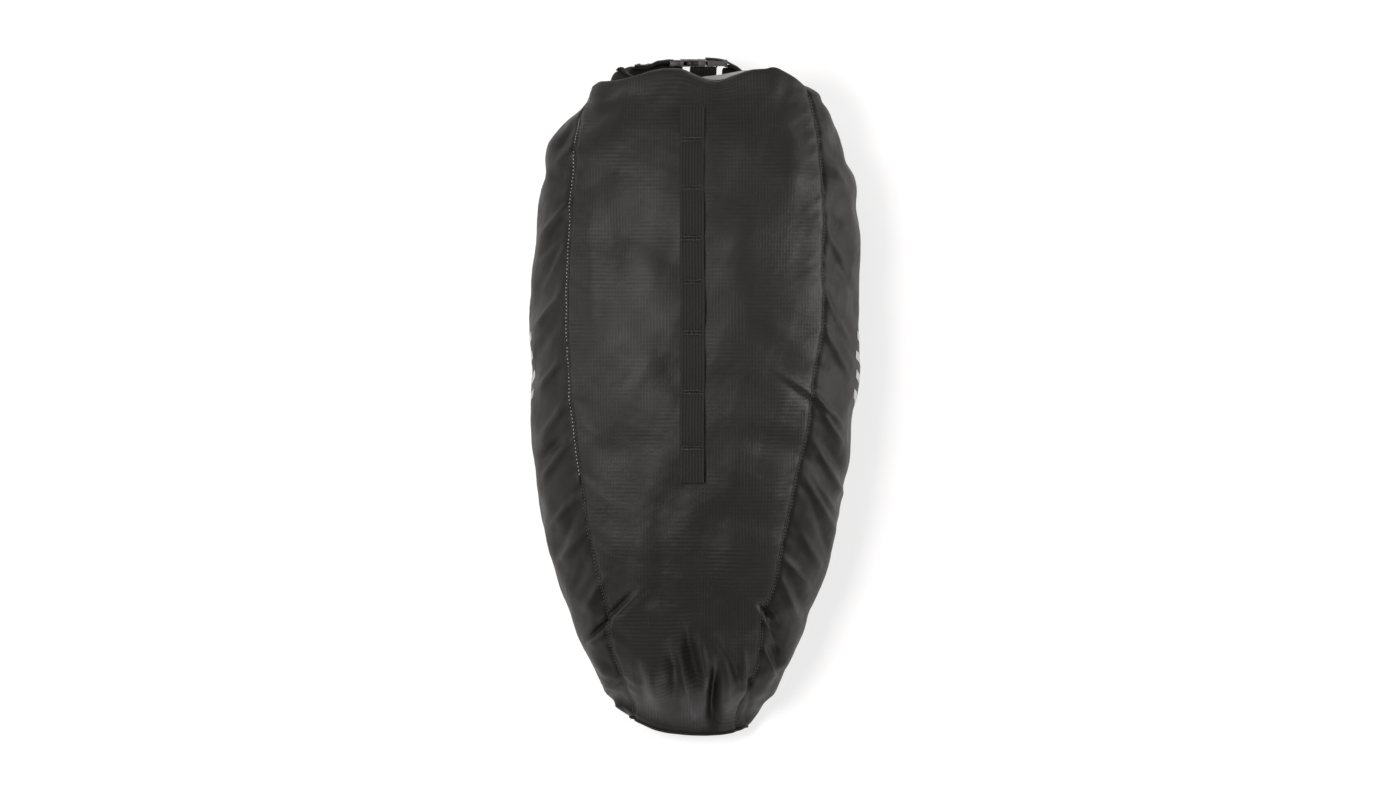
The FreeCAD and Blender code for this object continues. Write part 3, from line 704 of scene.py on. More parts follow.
def side_tuck(points, columns):
    """Rows that gather the sides and the back in against the rolled mouth."""
    last = points[-1, columns]
    centre, away = ring_centre(last)
    reach = (last[:, 0] - centre[:, 0]) * away[:, 0] + (last[:, 2] - centre[:, 1]) * away[:, 1]
    rows = []
    for share, y in ((0.84, 250.0), (0.42, 254.5), (0.0, 257.0), (-0.6, 256.0)):
        gap = ROLL_HALF_Z * (1 + min(share, 0)) + np.maximum(reach - ROLL_HALF_Z, 0.5) * max(share, 0)
        lean_back = (RING_FRONT_Z - centre[:, 1]) * math.sin(LEAN)
        rows.append(np.stack([centre[:, 0] + away[:, 0] * gap, y + lean_back,
                              centre[:, 1] + away[:, 1] * gap], axis=1))
    return np.array(rows)


def extended(points, arcs, rows_y, columns, is_front):
    """The skin's columns of one panel with the rows that follow above the collar."""
    if is_front:
        rows, arc, heights = front_cover(points, arcs, rows_y)
    else:
        rows = side_tuck(points, columns)
        arc = np.repeat(arcs[-1:, columns], len(rows), axis=0)
        heights = rows_y[-1] + TUCK_ROWS
    return (np.concatenate([points[:, columns], rows]), np.concatenate([arcs[:, columns], arc]),
            np.concatenate([rows_y, heights]))


def dress(piece, body, slot_name, material, *nodes):
    """Gives a piece its body and its material, and hides the CAD nodes it stands for. The slot name is not
    used.
    """
    piece.data.materials.append(material)
    if body is not None:
        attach(piece, body)
    if nodes:
        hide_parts(*nodes)
    return piece


def bend(piece):
    """Fabric that reaches from the bag to the closure. Only its placement is baked into its mesh."""
    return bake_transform(piece)


# ---- materials --------------------------------------------------------------
class Nodes:
    """A short way to write a node tree."""

    def __init__(self, name):
        self.material = bpy.data.materials.new(name)
        self.material.use_nodes = True
        self.tree = self.material.node_tree
        self.shader = self.tree.nodes["Principled BSDF"]

    def add(self, kind, inputs=(), **settings):
        node = self.tree.nodes.new(kind)
        for key, value in settings.items():
            setattr(node, key, value)
        for key, value in dict(inputs).items():
            self.feed(node.inputs[key], value)
        return node

    def feed(self, socket, value):
        if isinstance(value, bpy.types.NodeSocket):
            self.tree.links.new(value, socket)
        else:
            socket.default_value = value

    def math(self, operation, a, b=0.0):
        return self.add("ShaderNodeMath", {0: a, 1: b}, operation=operation).outputs[0]

    def times(self, a, b):
        return self.math("MULTIPLY", a, b)

    def plus(self, a, b):
        return self.math("ADD", a, b)

    def wave(self, value, pitch):
        """A sine of a coordinate that repeats at every pitch."""
        return self.math("SINE", self.times(value, math.tau / pitch))

    def remap(self, value, low, high, to_low, to_high):
        node = self.add("ShaderNodeMapRange", {0: value, 1: low, 2: high, 3: to_low, 4: to_high})
        return node.outputs[0]

    def noise(self, vector, scale, detail):
        node = self.add("ShaderNodeTexNoise", {"Vector": vector, "Scale": scale, "Detail": detail})
        return node.outputs["Fac"]

    def stretched(self, vector, stretch, scale, detail):
        """Noise of a coordinate that is first scaled by its own factor in each direction."""
        node = self.add("ShaderNodeVectorMath", {0: vector, 1: stretch}, operation="MULTIPLY")
        return self.noise(node.outputs[0], scale, detail)

    def mix(self, factor, first, second):
        node = self.add("ShaderNodeMix", data_type="RGBA")
        self.feed(node.inputs[0], factor)
        self.feed(node.inputs[6], first)
        self.feed(node.inputs[7], second)
        return node.outputs[2]

    def bump(self, height, strength, distance):
        inputs = {"Height": height, "Strength": strength, "Distance": distance}
        return self.add("ShaderNodeBump", inputs).outputs[0]

    def line(self, value, pitch, width):
        """1 on thin lines at every pitch of a coordinate, 0 between them."""
        turns = self.math("DIVIDE", value, pitch)
        distance = self.math("PINGPONG", turns, 0.5)
        return self.remap(distance, 0.5 * width / pitch, 0.9 * width / pitch, 1.0, 0.0)

    def finish(self, colour, roughness, normal, **constants):
        self.feed(self.shader.inputs["Base Color"], colour)
        self.feed(self.shader.inputs["Roughness"], roughness)
        if normal is not None:
            self.feed(self.shader.inputs["Normal"], normal)
        for name, value in constants.items():
            self.shader.inputs[name.replace("_", " ")].default_value = value
        return self.material


def grey(level, warmth=0.0):
    """A near-neutral colour: level in linear light, warmer where warmth is positive."""
    return (level * (1 + warmth), level, level * (1 - warmth), 1.0)


def weave_coordinates(nodes):
    """The cloth's coordinates in millimetres: the vector, then across, along and away from the seam."""
    vector = nodes.add("ShaderNodeAttribute", attribute_name="weave").outputs["Vector"]
    split = nodes.add("ShaderNodeSeparateXYZ", {0: vector})
    return vector, split.outputs[0], split.outputs[1], split.outputs[2]


def fabric_material(name, level, warmth, grid, roughness, sheen, shine=0.30):
    """Coated nylon. grid is how strongly the ripstop threads show, 0 for a plain weave."""
    nodes = Nodes(name)
    _, across, along, seam = weave_coordinates(nodes)
    vector = nodes.add("ShaderNodeCombineXYZ", {0: across, 1: along}).outputs[0]
    cloud = nodes.noise(vector, 0.035, 4.0)
    streak = nodes.stretched(vector, (0.9, 0.06, 1), 1.0, 2.0)
    slub = nodes.stretched(vector, (0.05, 1.1, 1), 1.0, 2.0)
    fine = nodes.times(nodes.wave(across, 0.42), nodes.wave(along, 0.42))
    tall_zones = nodes.remap(nodes.stretched(vector, (0.03, 0.012, 1), 1.0, 1.0), 0.40, 0.58, 0.1, 0.9)
    wide_zones = nodes.remap(nodes.stretched(vector, (0.014, 0.022, 1), 1.3, 1.0), 0.42, 0.60, 0.2, 1.0)
    threads = nodes.math("MAXIMUM", nodes.times(nodes.line(across, RIPSTOP_ACROSS, 0.85), tall_zones),
                         nodes.times(nodes.line(along, RIPSTOP_ALONG, 1.05), wide_zones))
    threads = nodes.times(threads, grid)
    tone = nodes.remap(cloud, 0.3, 0.7, 0.86, 1.16)
    tone = nodes.times(tone, nodes.remap(streak, 0.25, 0.75, 0.93, 1.07))
    tone = nodes.times(tone, nodes.remap(slub, 0.25, 0.75, 0.93, 1.07))
    tone = nodes.plus(tone, nodes.times(threads, 0.65))
    # painted shade: the cloth is darkened within about 3 mm of a seam, along the stitched groove
    tone = nodes.times(tone, nodes.remap(seam, 0.8, 3.2, 0.45, 1.0))
    colour = nodes.mix(nodes.times(tone, 0.5), grey(0.0), grey(level * 2, warmth))
    rough = nodes.math("SUBTRACT", nodes.remap(cloud, 0.3, 0.7, roughness + 0.05, roughness - 0.04),
                       nodes.times(threads, 0.05))
    height = nodes.plus(nodes.times(threads, 0.09), nodes.times(fine, 0.022))
    height = nodes.plus(nodes.plus(height, nodes.times(streak, 0.05)), nodes.times(slub, 0.05))
    return nodes.finish(colour, rough, nodes.bump(height, 0.75, MM), Sheen_Weight=sheen,
                        Sheen_Roughness=0.45, Specular_IOR_Level=shine)


def webbing_material(name, level, warmth):
    """Ribbed nylon webbing: painted shade in the furrows between the ribs, and a fine chevron in each."""
    nodes = Nodes(name)
    vector, across, along, _ = weave_coordinates(nodes)
    rib = nodes.math("ABSOLUTE", nodes.wave(across, 2 * WEBBING / RIBS))
    slope = nodes.plus(along, nodes.times(rib, 0.5))
    thread = nodes.math("ABSOLUTE", nodes.wave(slope, 1.24))
    fuzz = nodes.noise(vector, 0.9, 4.0)
    # painted shade: the furrows between the ribs are darkened
    tone = nodes.times(nodes.remap(rib, 0.0, 0.65, 0.22, 1.05), nodes.remap(thread, 0, 1, 0.82, 1.06))
    tone = nodes.times(tone, nodes.remap(fuzz, 0.3, 0.7, 0.82, 1.2))
    colour = nodes.mix(nodes.times(tone, 0.5), grey(0.0), grey(level * 2, warmth))
    height = nodes.plus(nodes.times(thread, 0.1), nodes.times(fuzz, 0.1))
    height = nodes.plus(height, nodes.times(rib, 0.1))
    return nodes.finish(colour, nodes.remap(fuzz, 0.3, 0.7, 0.82, 0.7), nodes.bump(height, 0.8, MM),
                        Sheen_Weight=0.03, Sheen_Roughness=0.5, Specular_IOR_Level=0.2)


def thread_material(name, level):
    """Twisted sewing thread."""
    nodes = Nodes(name)
    place = nodes.add("ShaderNodeTexCoord").outputs["Object"]
    twist = nodes.noise(place, 1600.0, 2.0)
    colour = nodes.mix(twist, grey(level * 0.55), grey(level * 1.5))
    return nodes.finish(colour, nodes.remap(twist, 0.3, 0.7, 0.65, 0.5), nodes.bump(twist, 0.5, 0.0002),
                        Sheen_Weight=0.2, Specular_IOR_Level=0.4)


def plastic_material(name, level, warmth, roughness):
    """Moulded acetal: a faint spark-eroded grain and a painted highlight on its sharp edges."""
    nodes = Nodes(name)
    place = nodes.add("ShaderNodeTexCoord").outputs["Object"]
    grain = nodes.noise(place, 2600.0, 3.0)
    cloud = nodes.noise(place, 90.0, 4.0)
    edges = nodes.add("ShaderNodeNewGeometry").outputs["Pointiness"]
    # painted highlight: sharp edges are lightened where they would catch the light
    edge_highlight = nodes.remap(edges, 0.52, 0.60, 0.0, 0.55)
    colour = nodes.mix(edge_highlight, nodes.mix(cloud, grey(level * 0.8, warmth), grey(level * 1.25, warmth)),
                       grey(level * 2.4, warmth))
    return nodes.finish(colour, nodes.remap(cloud, 0.3, 0.7, roughness - 0.06, roughness + 0.06),
                        nodes.bump(grain, 0.35, 0.00006), Specular_IOR_Level=0.5)


def reflective_material(name):
    """Printed ink with glass beads: light grey, slightly broken up by the cloth."""
    nodes = Nodes(name)
    place = nodes.add("ShaderNodeTexCoord").outputs["Object"]
    beads = nodes.noise(place, 2200.0, 2.0)
    worn = nodes.noise(place, 160.0, 5.0)
    colour = nodes.mix(nodes.remap(worn, 0.62, 0.7, 0.0, 1.0), grey(0.36, -0.01), grey(0.1))
    return nodes.finish(colour, nodes.remap(beads, 0.3, 0.7, 0.32, 0.5), nodes.bump(beads, 0.5, 0.0001),
                        Specular_IOR_Level=0.6)


# ---- pieces of the bag -------------------------------------------------------
def seam_strip(line, normals, across, width, rise, seed):
    """A low rolled seam: a padded ridge along a seam line with a groove down its middle."""
    offsets = np.array([-0.5, -0.42, -0.26, -0.08, 0.0, 0.08, 0.26, 0.42, 0.5])
    shape = np.array([-0.35, 0.25, 0.8, 0.55, 0.3, 0.55, 0.85, 0.3, -0.35])
    lumps = waves(6, 6, 16, seed)
    length = np.arange(len(line)) * 1.5
    height = rise * (1 + 0.35 * lumps(length, 0))
    outer = (line[:, None] + across[:, None] * (offsets * width)[None, :, None]
             + normals[:, None] * (shape[None, :] * height[:, None])[:, :, None])
    weave = np.zeros(outer.shape)
    weave[:, :, 0] = offsets[None] * width
    weave[:, :, 1] = length[:, None]
    weave[:, :, 2] = FAR_FROM_SEAM
    return outer, weave


def stitches(name, line, normals, across, side_offset, lift, pitch, length, radius, seed):
    """Lockstitches along a seam: short threads that come up and go down again."""
    travel = travelled(line)
    random = np.random.default_rng(seed)
    parts = []
    for centre in np.arange(pitch, travel[-1] - pitch, pitch):
        path = []
        slant = random.uniform(-0.12, 0.12)
        for share, depth in ((-0.5, -0.45), (-0.3, 0.05), (0, 0.22), (0.3, 0.05), (0.5, -0.45)):
            at = centre + share * length
            spot, out, side = (np.array([np.interp(at, travel, values[:, k]) for k in range(3)])
                               for values in (line, normals, across))
            path.append(spot + side * (side_offset + slant * share) + out * (lift + depth * radius * 2.2))
        parts.append(tube(path, radius))
    return join_parts(name, parts)


def make_panels(materials):
    """All the cloth panels. Returns the fine grids that other pieces are laid on."""
    points, arcs, rows_y = main_skin()
    grids = {}
    for name, columns, seeds in (("front_panel", FRONT, (1, 2)), ("right_side_panel", RIGHT, (9, 1)),
                                 ("left_side_panel", LEFT, (2, 8))):
        grids[name] = panel(*extended(points, arcs, rows_y, columns, name == "front_panel"), seeds)
    closed = np.concatenate([points, points[:, :1]], axis=1)
    back = slice(BACK_START, points.shape[1] + 1)
    back_points = np.concatenate([closed[:, back], side_tuck(closed, back)])
    back_steps = np.linalg.norm(np.diff(back_points, axis=1, prepend=back_points[:, :1]), axis=2)
    back_rows = np.concatenate([rows_y, rows_y[-1] + TUCK_ROWS])
    grids["back_panel"] = panel(back_points, np.cumsum(back_steps, axis=1), back_rows, (8, 9))
    for name, (fine, weave) in grids.items():
        fine[:, :, 2] = np.maximum(fine[:, :, 2], 0.0)
        piece = cloth_sheet(name + "_cloth", fine, weave)
        is_ripstop = name in ("front_panel", "back_panel")
        piece.data.materials.append(materials["ripstop" if is_ripstop else "side"])
        if name == "front_panel":
            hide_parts(name, "neck_collar")
        else:
            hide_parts(name)
        bend(piece)
    return grids


def surface_tree(grids, names):
    """A search tree over the outer faces of some panels, in millimetres."""
    vertices, faces = [], []
    for name in names:
        fine = grids[name][0]
        base = len(vertices)
        vertices.extend(fine.reshape(-1, 3).tolist())
        faces.extend(grid_faces(fine.shape[0], fine.shape[1], base, True))
    return BVHTree.FromPolygons(vertices, faces)


def skin_height(tree, x, y):
    """Height of the skin at a plan point."""
    hit = tree.ray_cast(Vector((x, y, ABOVE_BAG)), Vector((0, 0, -1)))[0]
    return hit.z if hit is not None else 0.0


def make_seams(grids, materials):
    """The four long seams, each a low roll with two rows of stitches."""
    plan = [("seam_tape_front_right", "front_panel", 0, 1, 2.6, 0.55, 31),
            ("seam_tape_front_left", "front_panel", -1, -1, 2.6, 0.5, 32),
            ("seam_tape_back_right", "right_side_panel", 0, 1, 3.4, 0.6, 33),
            ("seam_tape_back_left", "left_side_panel", -1, -1, 3.4, 0.6, 34)]
    for name, source, column, sign, width, rise, seed in plan:
        fine, _ = grids[source]
        normals = grid_normals(fine)[:, column]
        line = fine[:, column]
        across = unit(np.cross(frames_along(line), normals)) * sign
        keep = slice(3, (ROWS - 1) * FINE + 20 if "front" in name else (ROWS - 1) * FINE + 8)
        line, normals, across = line[keep], normals[keep], across[keep]
        outer, weave = seam_strip(line, normals, across, width, rise, seed)
        piece = cloth_sheet(name + "_roll", outer[:, ::-1] if sign > 0 else outer, weave, 0.5)
        dress(piece, None, "seam_tape", materials["tape"], name)
        bend(piece)
        for row, offset in ((1, -1.0), (2, 1.15)):
            runs = [("", line[:, 1] > NOSE_Y, "thread", STITCH_PITCH, 0.34)]
            # painted highlight: the upper stitches of the left front seam are drawn in pale thread, the lower
            # ones in black
            if row == 1 and name == "seam_tape_front_left":
                runs = [("_upper", line[:, 1] > HIGHLIT_STITCH_END, "highlit_thread", 3.1, 0.4),
                        ("_lower", line[:, 1] < HIGHLIT_STITCH_END, "thread", 3.1, 0.4)]
            for part, inside, colour, pitch, radius in runs:
                thread = stitches(name + "_stitches_%d" % row + part, line[inside], normals[inside],
                                  across[inside], offset * sign, rise * 0.75, pitch, 1.0, radius, seed + row)
                dress(thread, None, "thread", materials[colour])
                bend(thread)


def make_nose(grids, materials):
    """The end panel, closed by a rolled seam that shows as the lower edge of the bag."""
    loop = []
    for name in ("right_side_panel", "front_panel", "left_side_panel", "back_panel"):
        loop.append(grids[name][0][0, :-1])
    loop = np.concatenate(loop)
    centre = loop.mean(axis=0)
    rings, count = [], 15
    for k in range(count):
        share = k / (count - 1)
        ring = loop + (centre - loop) * (share * 0.995)
        ring[:, 1] += 1.6 * math.sin(share * math.pi) - 2.4 * share ** 2 + 1.2 * share
        rings.append(ring)
    rings = np.array(rings)
    rings = np.concatenate([rings, rings[:, :1]], axis=1)
    dents = waves(8, 12, 30, 40)
    rings[:, :, 1] += 0.5 * dents(rings[:, :, 0], rings[:, :, 2]) * np.linspace(0, 1, count)[:, None]
    rings[:, :, 1] = np.maximum(rings[:, :, 1], NOSE_Y - 2.0)
    weave = flat_weave(rings)
    piece = cloth_sheet("nose_panel_cloth", rings[:, ::-1], weave[:, ::-1])
    dress(piece, "bag", "coated_nylon", materials["side"], "nose_panel")
    path = np.concatenate([loop, loop[:2]]) + np.array([0, -0.2, 0])
    points, faces = tube(path, 1.1, 8)
    binding = add_object("nose_seam_roll", points, faces)
    set_vectors(binding, "weave", flat_weave(points))
    dress(binding, "bag", "seam_tape", materials["side"], "nose_seam_binding")
    out = unit(path - centre)
    thread = stitches("nose_seam_stitches", path, out, np.tile([0, 1.0, 0], (len(path), 1)), 1.9, 0.5,
                      STITCH_PITCH, 1.8, 0.24, 44)
    dress(thread, "bag", "thread", materials["thread"])


def make_daisy_chain(tree, materials):
    """Webbing stitched down at each bartack, standing up a little between them, its ends doubled."""
    stops = [CHAIN_TOP] + TACKS_Y + [CHAIN_BOTTOM]
    lifts = [0.5, 1.5, 1.9, 1.7, 2.0, 1.8, 2.2, 0.9]
    ys, bows = [], []
    for (start, stop), lift in zip(zip(stops, stops[1:]), lifts):
        steps = max(int((start - stop) / 1.2), 4)
        for k in range(steps):
            share = k / steps
            ys.append(start + share * (stop - start))
            bows.append(lift * math.sin(math.pi * share) ** 1.4)
    ys.append(CHAIN_BOTTOM)
    bows.append(0.0)
    ys, bows = np.array(ys), np.array(bows)
    sway = 0.35 * np.sin(ys / 37.0) + 0.15 * np.sin(ys / 11.0)
    base = []
    for y in ys:
        base.append(max(skin_height(tree, CHAIN_X + offset, y) for offset in (-7, 0, 7)))
    base = running_mean(np.array(base), 5)
    free_end = 2.6 * smoothstep(-46, CHAIN_BOTTOM, ys)
    path = np.stack([CHAIN_X + sway, ys, base + 1.1 + bows + free_end], axis=1)
    across = np.tile([1.0, 0, 0], (len(path), 1))
    across[:, 2] = 0.03 * np.sin(ys / 23.0)
    strips = [ribbon(path[::-1], across, WEBBING, WEBBING_THICK)]
    for low, high in ((TACKS_Y[0], CHAIN_TOP), (CHAIN_BOTTOM, TACKS_Y[-1] + 1)):
        part = path[(ys >= low) & (ys <= high)].copy()
        part[:, 2] += 1.35
        strips.append(ribbon(part[::-1], across[:len(part)], WEBBING - 0.5, 1.3))
    piece = webbing_object("daisy_chain_webbing", strips)
    dress(piece, None, "webbing", materials["webbing"], "daisy_chain")
    bend(piece)
    travel = path[::-1]
    for index, y in enumerate(TACKS_Y):
        z = float(np.interp(y, travel[:, 1], travel[:, 2])) + (1.45 if index in (0, 6) else 0.8)
        x = float(np.interp(y, travel[:, 1], travel[:, 0]))
        tack = bartack("daisy_bartack_threads_%d" % (index + 1), np.array([x, y, z]), np.array([1.0, 0, 0]),
                       np.array([0, 1.0, 0]), 17.4, 4.6, 50 + index)
        dress(tack, "bag", "thread", materials["thread"], "daisy_bartack_%d" % (index + 1))


def bartack(name, centre, across, along, width, length, seed):
    """A dense zigzag of thread across the webbing, over two straight threads."""
    random = np.random.default_rng(seed)
    out = np.cross(across, along)
    out = out if out[2] > 0 or abs(out[2]) < 0.3 else -out
    count = 28
    zigzag = []
    for k in range(count + 1):
        side = (k / count - 0.5) * width
        reach = (0.5 if k % 2 else -0.5) * length + random.uniform(-0.25, 0.25)
        zigzag.append(centre + across * side + along * reach + out * (0.3 + random.uniform(-0.1, 0.15)))
    parts = [tube(zigzag, 0.38)]
    for reach in (-0.28, 0.28):
        path = [centre + across * (s * width) + along * (reach * length) + out * 0.3 for s in (-0.5, 0, 0.5)]
        parts.append(tube(resample(path, 2.0), 0.24))
    return join_parts(name, parts)


def make_reflective_bars(grids, materials):
    """Slanted printed bars that lie on the side panels."""
    for name, side, low in (("left", -1, BAR_LOW_LEFT), ("right", 1, BAR_LOW_RIGHT)):
        tree = surface_tree(grids, [name + "_side_panel"])
        for index in range(BARS):
            rows = []
            for share in np.linspace(0, 1, 17):
                z = low + BAR_HEIGHT * share
                row = []
                for step in np.linspace(0, 1, 6):
                    y = BAR_START_Y + BAR_PITCH * index + BAR_SLANT * share + BAR_WIDTH * step
                    start = Vector((side * BESIDE_BAG, y, z))
                    hit, normal, _, _ = tree.ray_cast(start, Vector((-side, 0, 0)))
                    out = np.array(normal) * (1 if normal.x * side > 0 else -1)
                    row.append(np.array(hit) + out * 0.22)
                rows.append(row if side > 0 else row[::-1])
            fine = np.array(rows)[:, ::-1]
            bar = cloth_sheet("reflective_bar_%s_print_%d" % (name, index + 1), fine, fine, 0.12)
            dress(bar, "bag", "reflective_ink", materials["ink"], "reflective_bar_%s_%d" % (name, index + 1))


# ---- pieces of the closure ----------------------------------------------------
def lean(points):
    """From the upright layout of the closure to its place on the bag."""
    points = np.asarray(points, float).copy()
    y = points[..., 1] - RING_Y
    z = points[..., 2] - RING_FRONT_Z
    points[..., 1] = RING_Y + y * math.cos(LEAN) - z * math.sin(LEAN)
    points[..., 2] = RING_FRONT_Z + y * math.sin(LEAN) + z * math.cos(LEAN)
    return points


def ring_path():
    """Centre line of the open ring and the outward direction of its loop, in the upright layout."""
    middle = RING_FRONT_Z - RING_BEND
    bend_turns = np.linspace(0, math.pi, 36)
    path, outward = [], []
    for x in np.arange(LEFT_ARM_END, RING_LEFT_X, -RING_STEP):
        path.append((x, RING_Y, ARM_Z))
        outward.append((0, 0, -1))
    for turn in bend_turns:
        path.append((RING_LEFT_X - RING_BEND * math.sin(turn), RING_Y, middle - RING_BEND * math.cos(turn)))
        outward.append((-math.sin(turn), 0, -math.cos(turn)))
    for x in np.arange(RING_LEFT_X + RING_STEP, RING_RIGHT_X, RING_STEP):
        path.append((x, RING_Y, RING_FRONT_Z))
        outward.append((0, 0, 1))
    for turn in bend_turns:
        path.append((RING_RIGHT_X + RING_BEND * math.sin(turn), RING_Y, middle + RING_BEND * math.cos(turn)))
        outward.append((math.sin(turn), 0, math.cos(turn)))
    for x in np.arange(RING_RIGHT_X - RING_STEP, RIGHT_ARM_END - 0.1, -RING_STEP):
        path.append((x, RING_Y, ARM_Z))
        outward.append((0, 0, -1))
    return np.array(path), np.array(outward, float)


def make_roll(materials):
    """The mouth rolled up three turns: a spiral of doubled cloth carried round the ring."""
    path, outward = ring_path()
    turns, per_turn, thick = 3.0, 26, 0.85
    count = int(turns * per_turn) + 1
    angle = np.linspace(0, math.tau * turns, count) + math.radians(70)
    shrink = 1 - 0.40 * np.linspace(0, 1, count) ** 1.15
    is_front = path[:, 2] > RING_FRONT_Z - 8
    behind = roll_top(path[:, 0]) - RING_Y - (RING_FRONT_Z - path[:, 2]) * math.sin(LEAN)
    ahead = fold_edge(path[:, 0]) - RING_Y - 1.0
    limit = np.where((path[:, 0] > -21) & (path[:, 0] < 0), ROLL_HALF_Y + 2.9, ROLL_HALF_Y + 6.0)
    half_up = np.minimum(limit, np.where(is_front, ahead, behind))
    half_up = np.minimum(running_mean(half_up, 7), limit)
    dents = waves(9, 14, 46, 60)
    travel = np.arange(len(path)) * RING_STEP
    loops = []
    path[:, 2] -= 5.0 * smoothstep(RING_FRONT_Z - 34, RING_FRONT_Z - 4, path[:, 2])
    for k, (spot, out) in enumerate(zip(path, outward)):
        squeeze = 1 + 0.05 * dents(travel[k], 0)
        outer, inner = [], []
        for a, s in zip(angle, shrink):
            wobble = 0.45 * dents(travel[k], a * 9.0)
            up = math.sin(a) * (half_up[k] if math.sin(a) > 0 else ROLL_HALF_Y) * s * squeeze
            side = math.cos(a) * ROLL_HALF_Z * s
            swell = 1 + wobble / 12.0
            outer.append(spot + np.array([0, 1.0, 0]) * up * swell + out * side * swell)
            slim = 1 - thick / max(math.hypot(up, side), 3.0)
            inner.append(spot + np.array([0, 1.0, 0]) * up * swell * slim + out * side * swell * slim)
        loops.append(outer + inner[::-1])
    loops = np.array(loops)
    rows, columns = loops.shape[:2]
    faces = grid_faces(rows, columns, 0, False, True)
    for row, flip in ((0, True), (rows - 1, False)):
        base = row * columns
        for c in range(count - 1):
            quad = (base + c, base + c + 1, base + columns - 2 - c, base + columns - 1 - c)
            faces.append(quad[::-1] if flip else quad)
    piece = add_object("rolled_mouth_cloth", lean(loops), faces)
    weave = np.zeros(loops.shape)
    weave[:, :, 0] = travel[:, None]
    weave[:, :, 1] = np.concatenate([np.arange(count), np.arange(count)[::-1]])[None] * 2.4
    weave[:, :, 2] = FAR_FROM_SEAM
    set_vectors(piece, "weave", weave)
    dress(piece, "closure", "coated_nylon", materials["coated"], "rolled_mouth")


def make_top_gather(materials):
    """The back layer of the mouth, gathered inside the ring: pleats run in to a pinched line."""
    angle = np.linspace(0, math.tau, 181)
    middle = RING_FRONT_Z - RING_BEND
    loop = []
    for a in angle:
        c, s = math.cos(a), math.sin(a)
        half = 0.5 * (RING_RIGHT_X - RING_LEFT_X)
        centre = 0.5 * (RING_RIGHT_X + RING_LEFT_X)
        x = centre + half * np.clip(c * 1.5, -1, 1) + RING_BEND * c * min(1.0, abs(c) * 1.2)
        loop.append((x, RING_Y - 2.5, middle + RING_BEND * np.sign(s) * min(1.0, abs(s) * 1.9) ** 0.8))
    loop = np.array(loop)
    pinch = np.stack([5 + 38 * np.cos(angle), np.full_like(angle, 249.0), middle + 2 * np.sin(angle)], axis=1)
    rows = []
    for share in np.linspace(0, 1, 26):
        pleat = np.sin(angle * 23 + 1.3 * np.sin(angle * 5)) * 1.5 * math.sin(math.pi * share)
        row = loop + (pinch - loop) * share
        row[:, 1] += pleat - 3.0 * math.sin(math.pi * share)
        rows.append(row)
    rows = np.array(rows)
    weave = flat_weave(rows)
    piece = cloth_sheet("mouth_gather_cloth", lean(rows), weave)
    dress(piece, "closure", "coated_nylon", materials["coated"])


def make_mouth_lip(materials):
    """The pale inner edge of the mouth, which stands up behind the dip of the front."""
    x = np.linspace(-2, 46, 49)
    rise = np.interp(x, *zip(*LIP_TOP)) - fold_edge(x)
    hidden = 7 - 4.5 * smoothstep(-2, 14, x) - 1.5 * smoothstep(34, 46, x)
    rows = []
    for share in np.linspace(0, 1, 9):
        edge = fold_edge(x) + rise - (rise + hidden) * share
        rows.append(np.stack([x, edge, FOLD_Z - 14 + 9 * share - 5 * share ** 4 + 0 * x], axis=1))
    lip = np.array(rows)
    piece = cloth_sheet("mouth_lip_cloth", lip, flat_weave(lip), 0.5)
    dress(piece, "closure", "coated_nylon", materials["lining"])


def make_end_sleeve(materials):
    """The slack end of the roll under the strap, which crumples as the plug is drawn away."""
    rings = []
    x = np.linspace(SLEEVE_START, SLEEVE_STOP, 17)
    dents = waves(6, 6, 16, 77)
    for at in x:
        share = (SLEEVE_START - at) / (SLEEVE_START - SLEEVE_STOP)
        turn = np.linspace(0, math.tau, SLEEVE_SIDES + 1)[:-1]
        crest, sole = np.interp(at, *zip(*SLEEVE_TOP)), RING_Y - 11.5 + 2.5 * share
        half_z = (ROLL_HALF_Z - 0.8) * (1 - 0.30 * share ** 2)
        if at == x[-1]:
            crest, sole, half_z = crest - 2.5, sole + 2.5, 0.7 * half_z
        swell = 1 + 0.04 * dents(at, turn * 6)
        upright = 0.5 * (crest + sole) + 0.5 * (crest - sole) * np.sin(turn) * np.minimum(swell, 1)
        rings.append(np.stack([np.full(SLEEVE_SIDES, at), upright,
                               ARM_Z + half_z * np.cos(turn) * swell], axis=1))
    rings = np.array(rings)
    piece = add_object("rolled_mouth_end", lean(rings), capped_faces(len(x), SLEEVE_SIDES))
    set_vectors(piece, "weave", flat_weave(rings))
    dress(piece, "closure", "coated_nylon", materials["coated"])
    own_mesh(piece)


def local_path(points):
    """An even path through (x, y) points beside the buckle, in the upright layout."""
    return resample([(x, y, ARM_Z) for x, y in points], WEBBING_STEP)


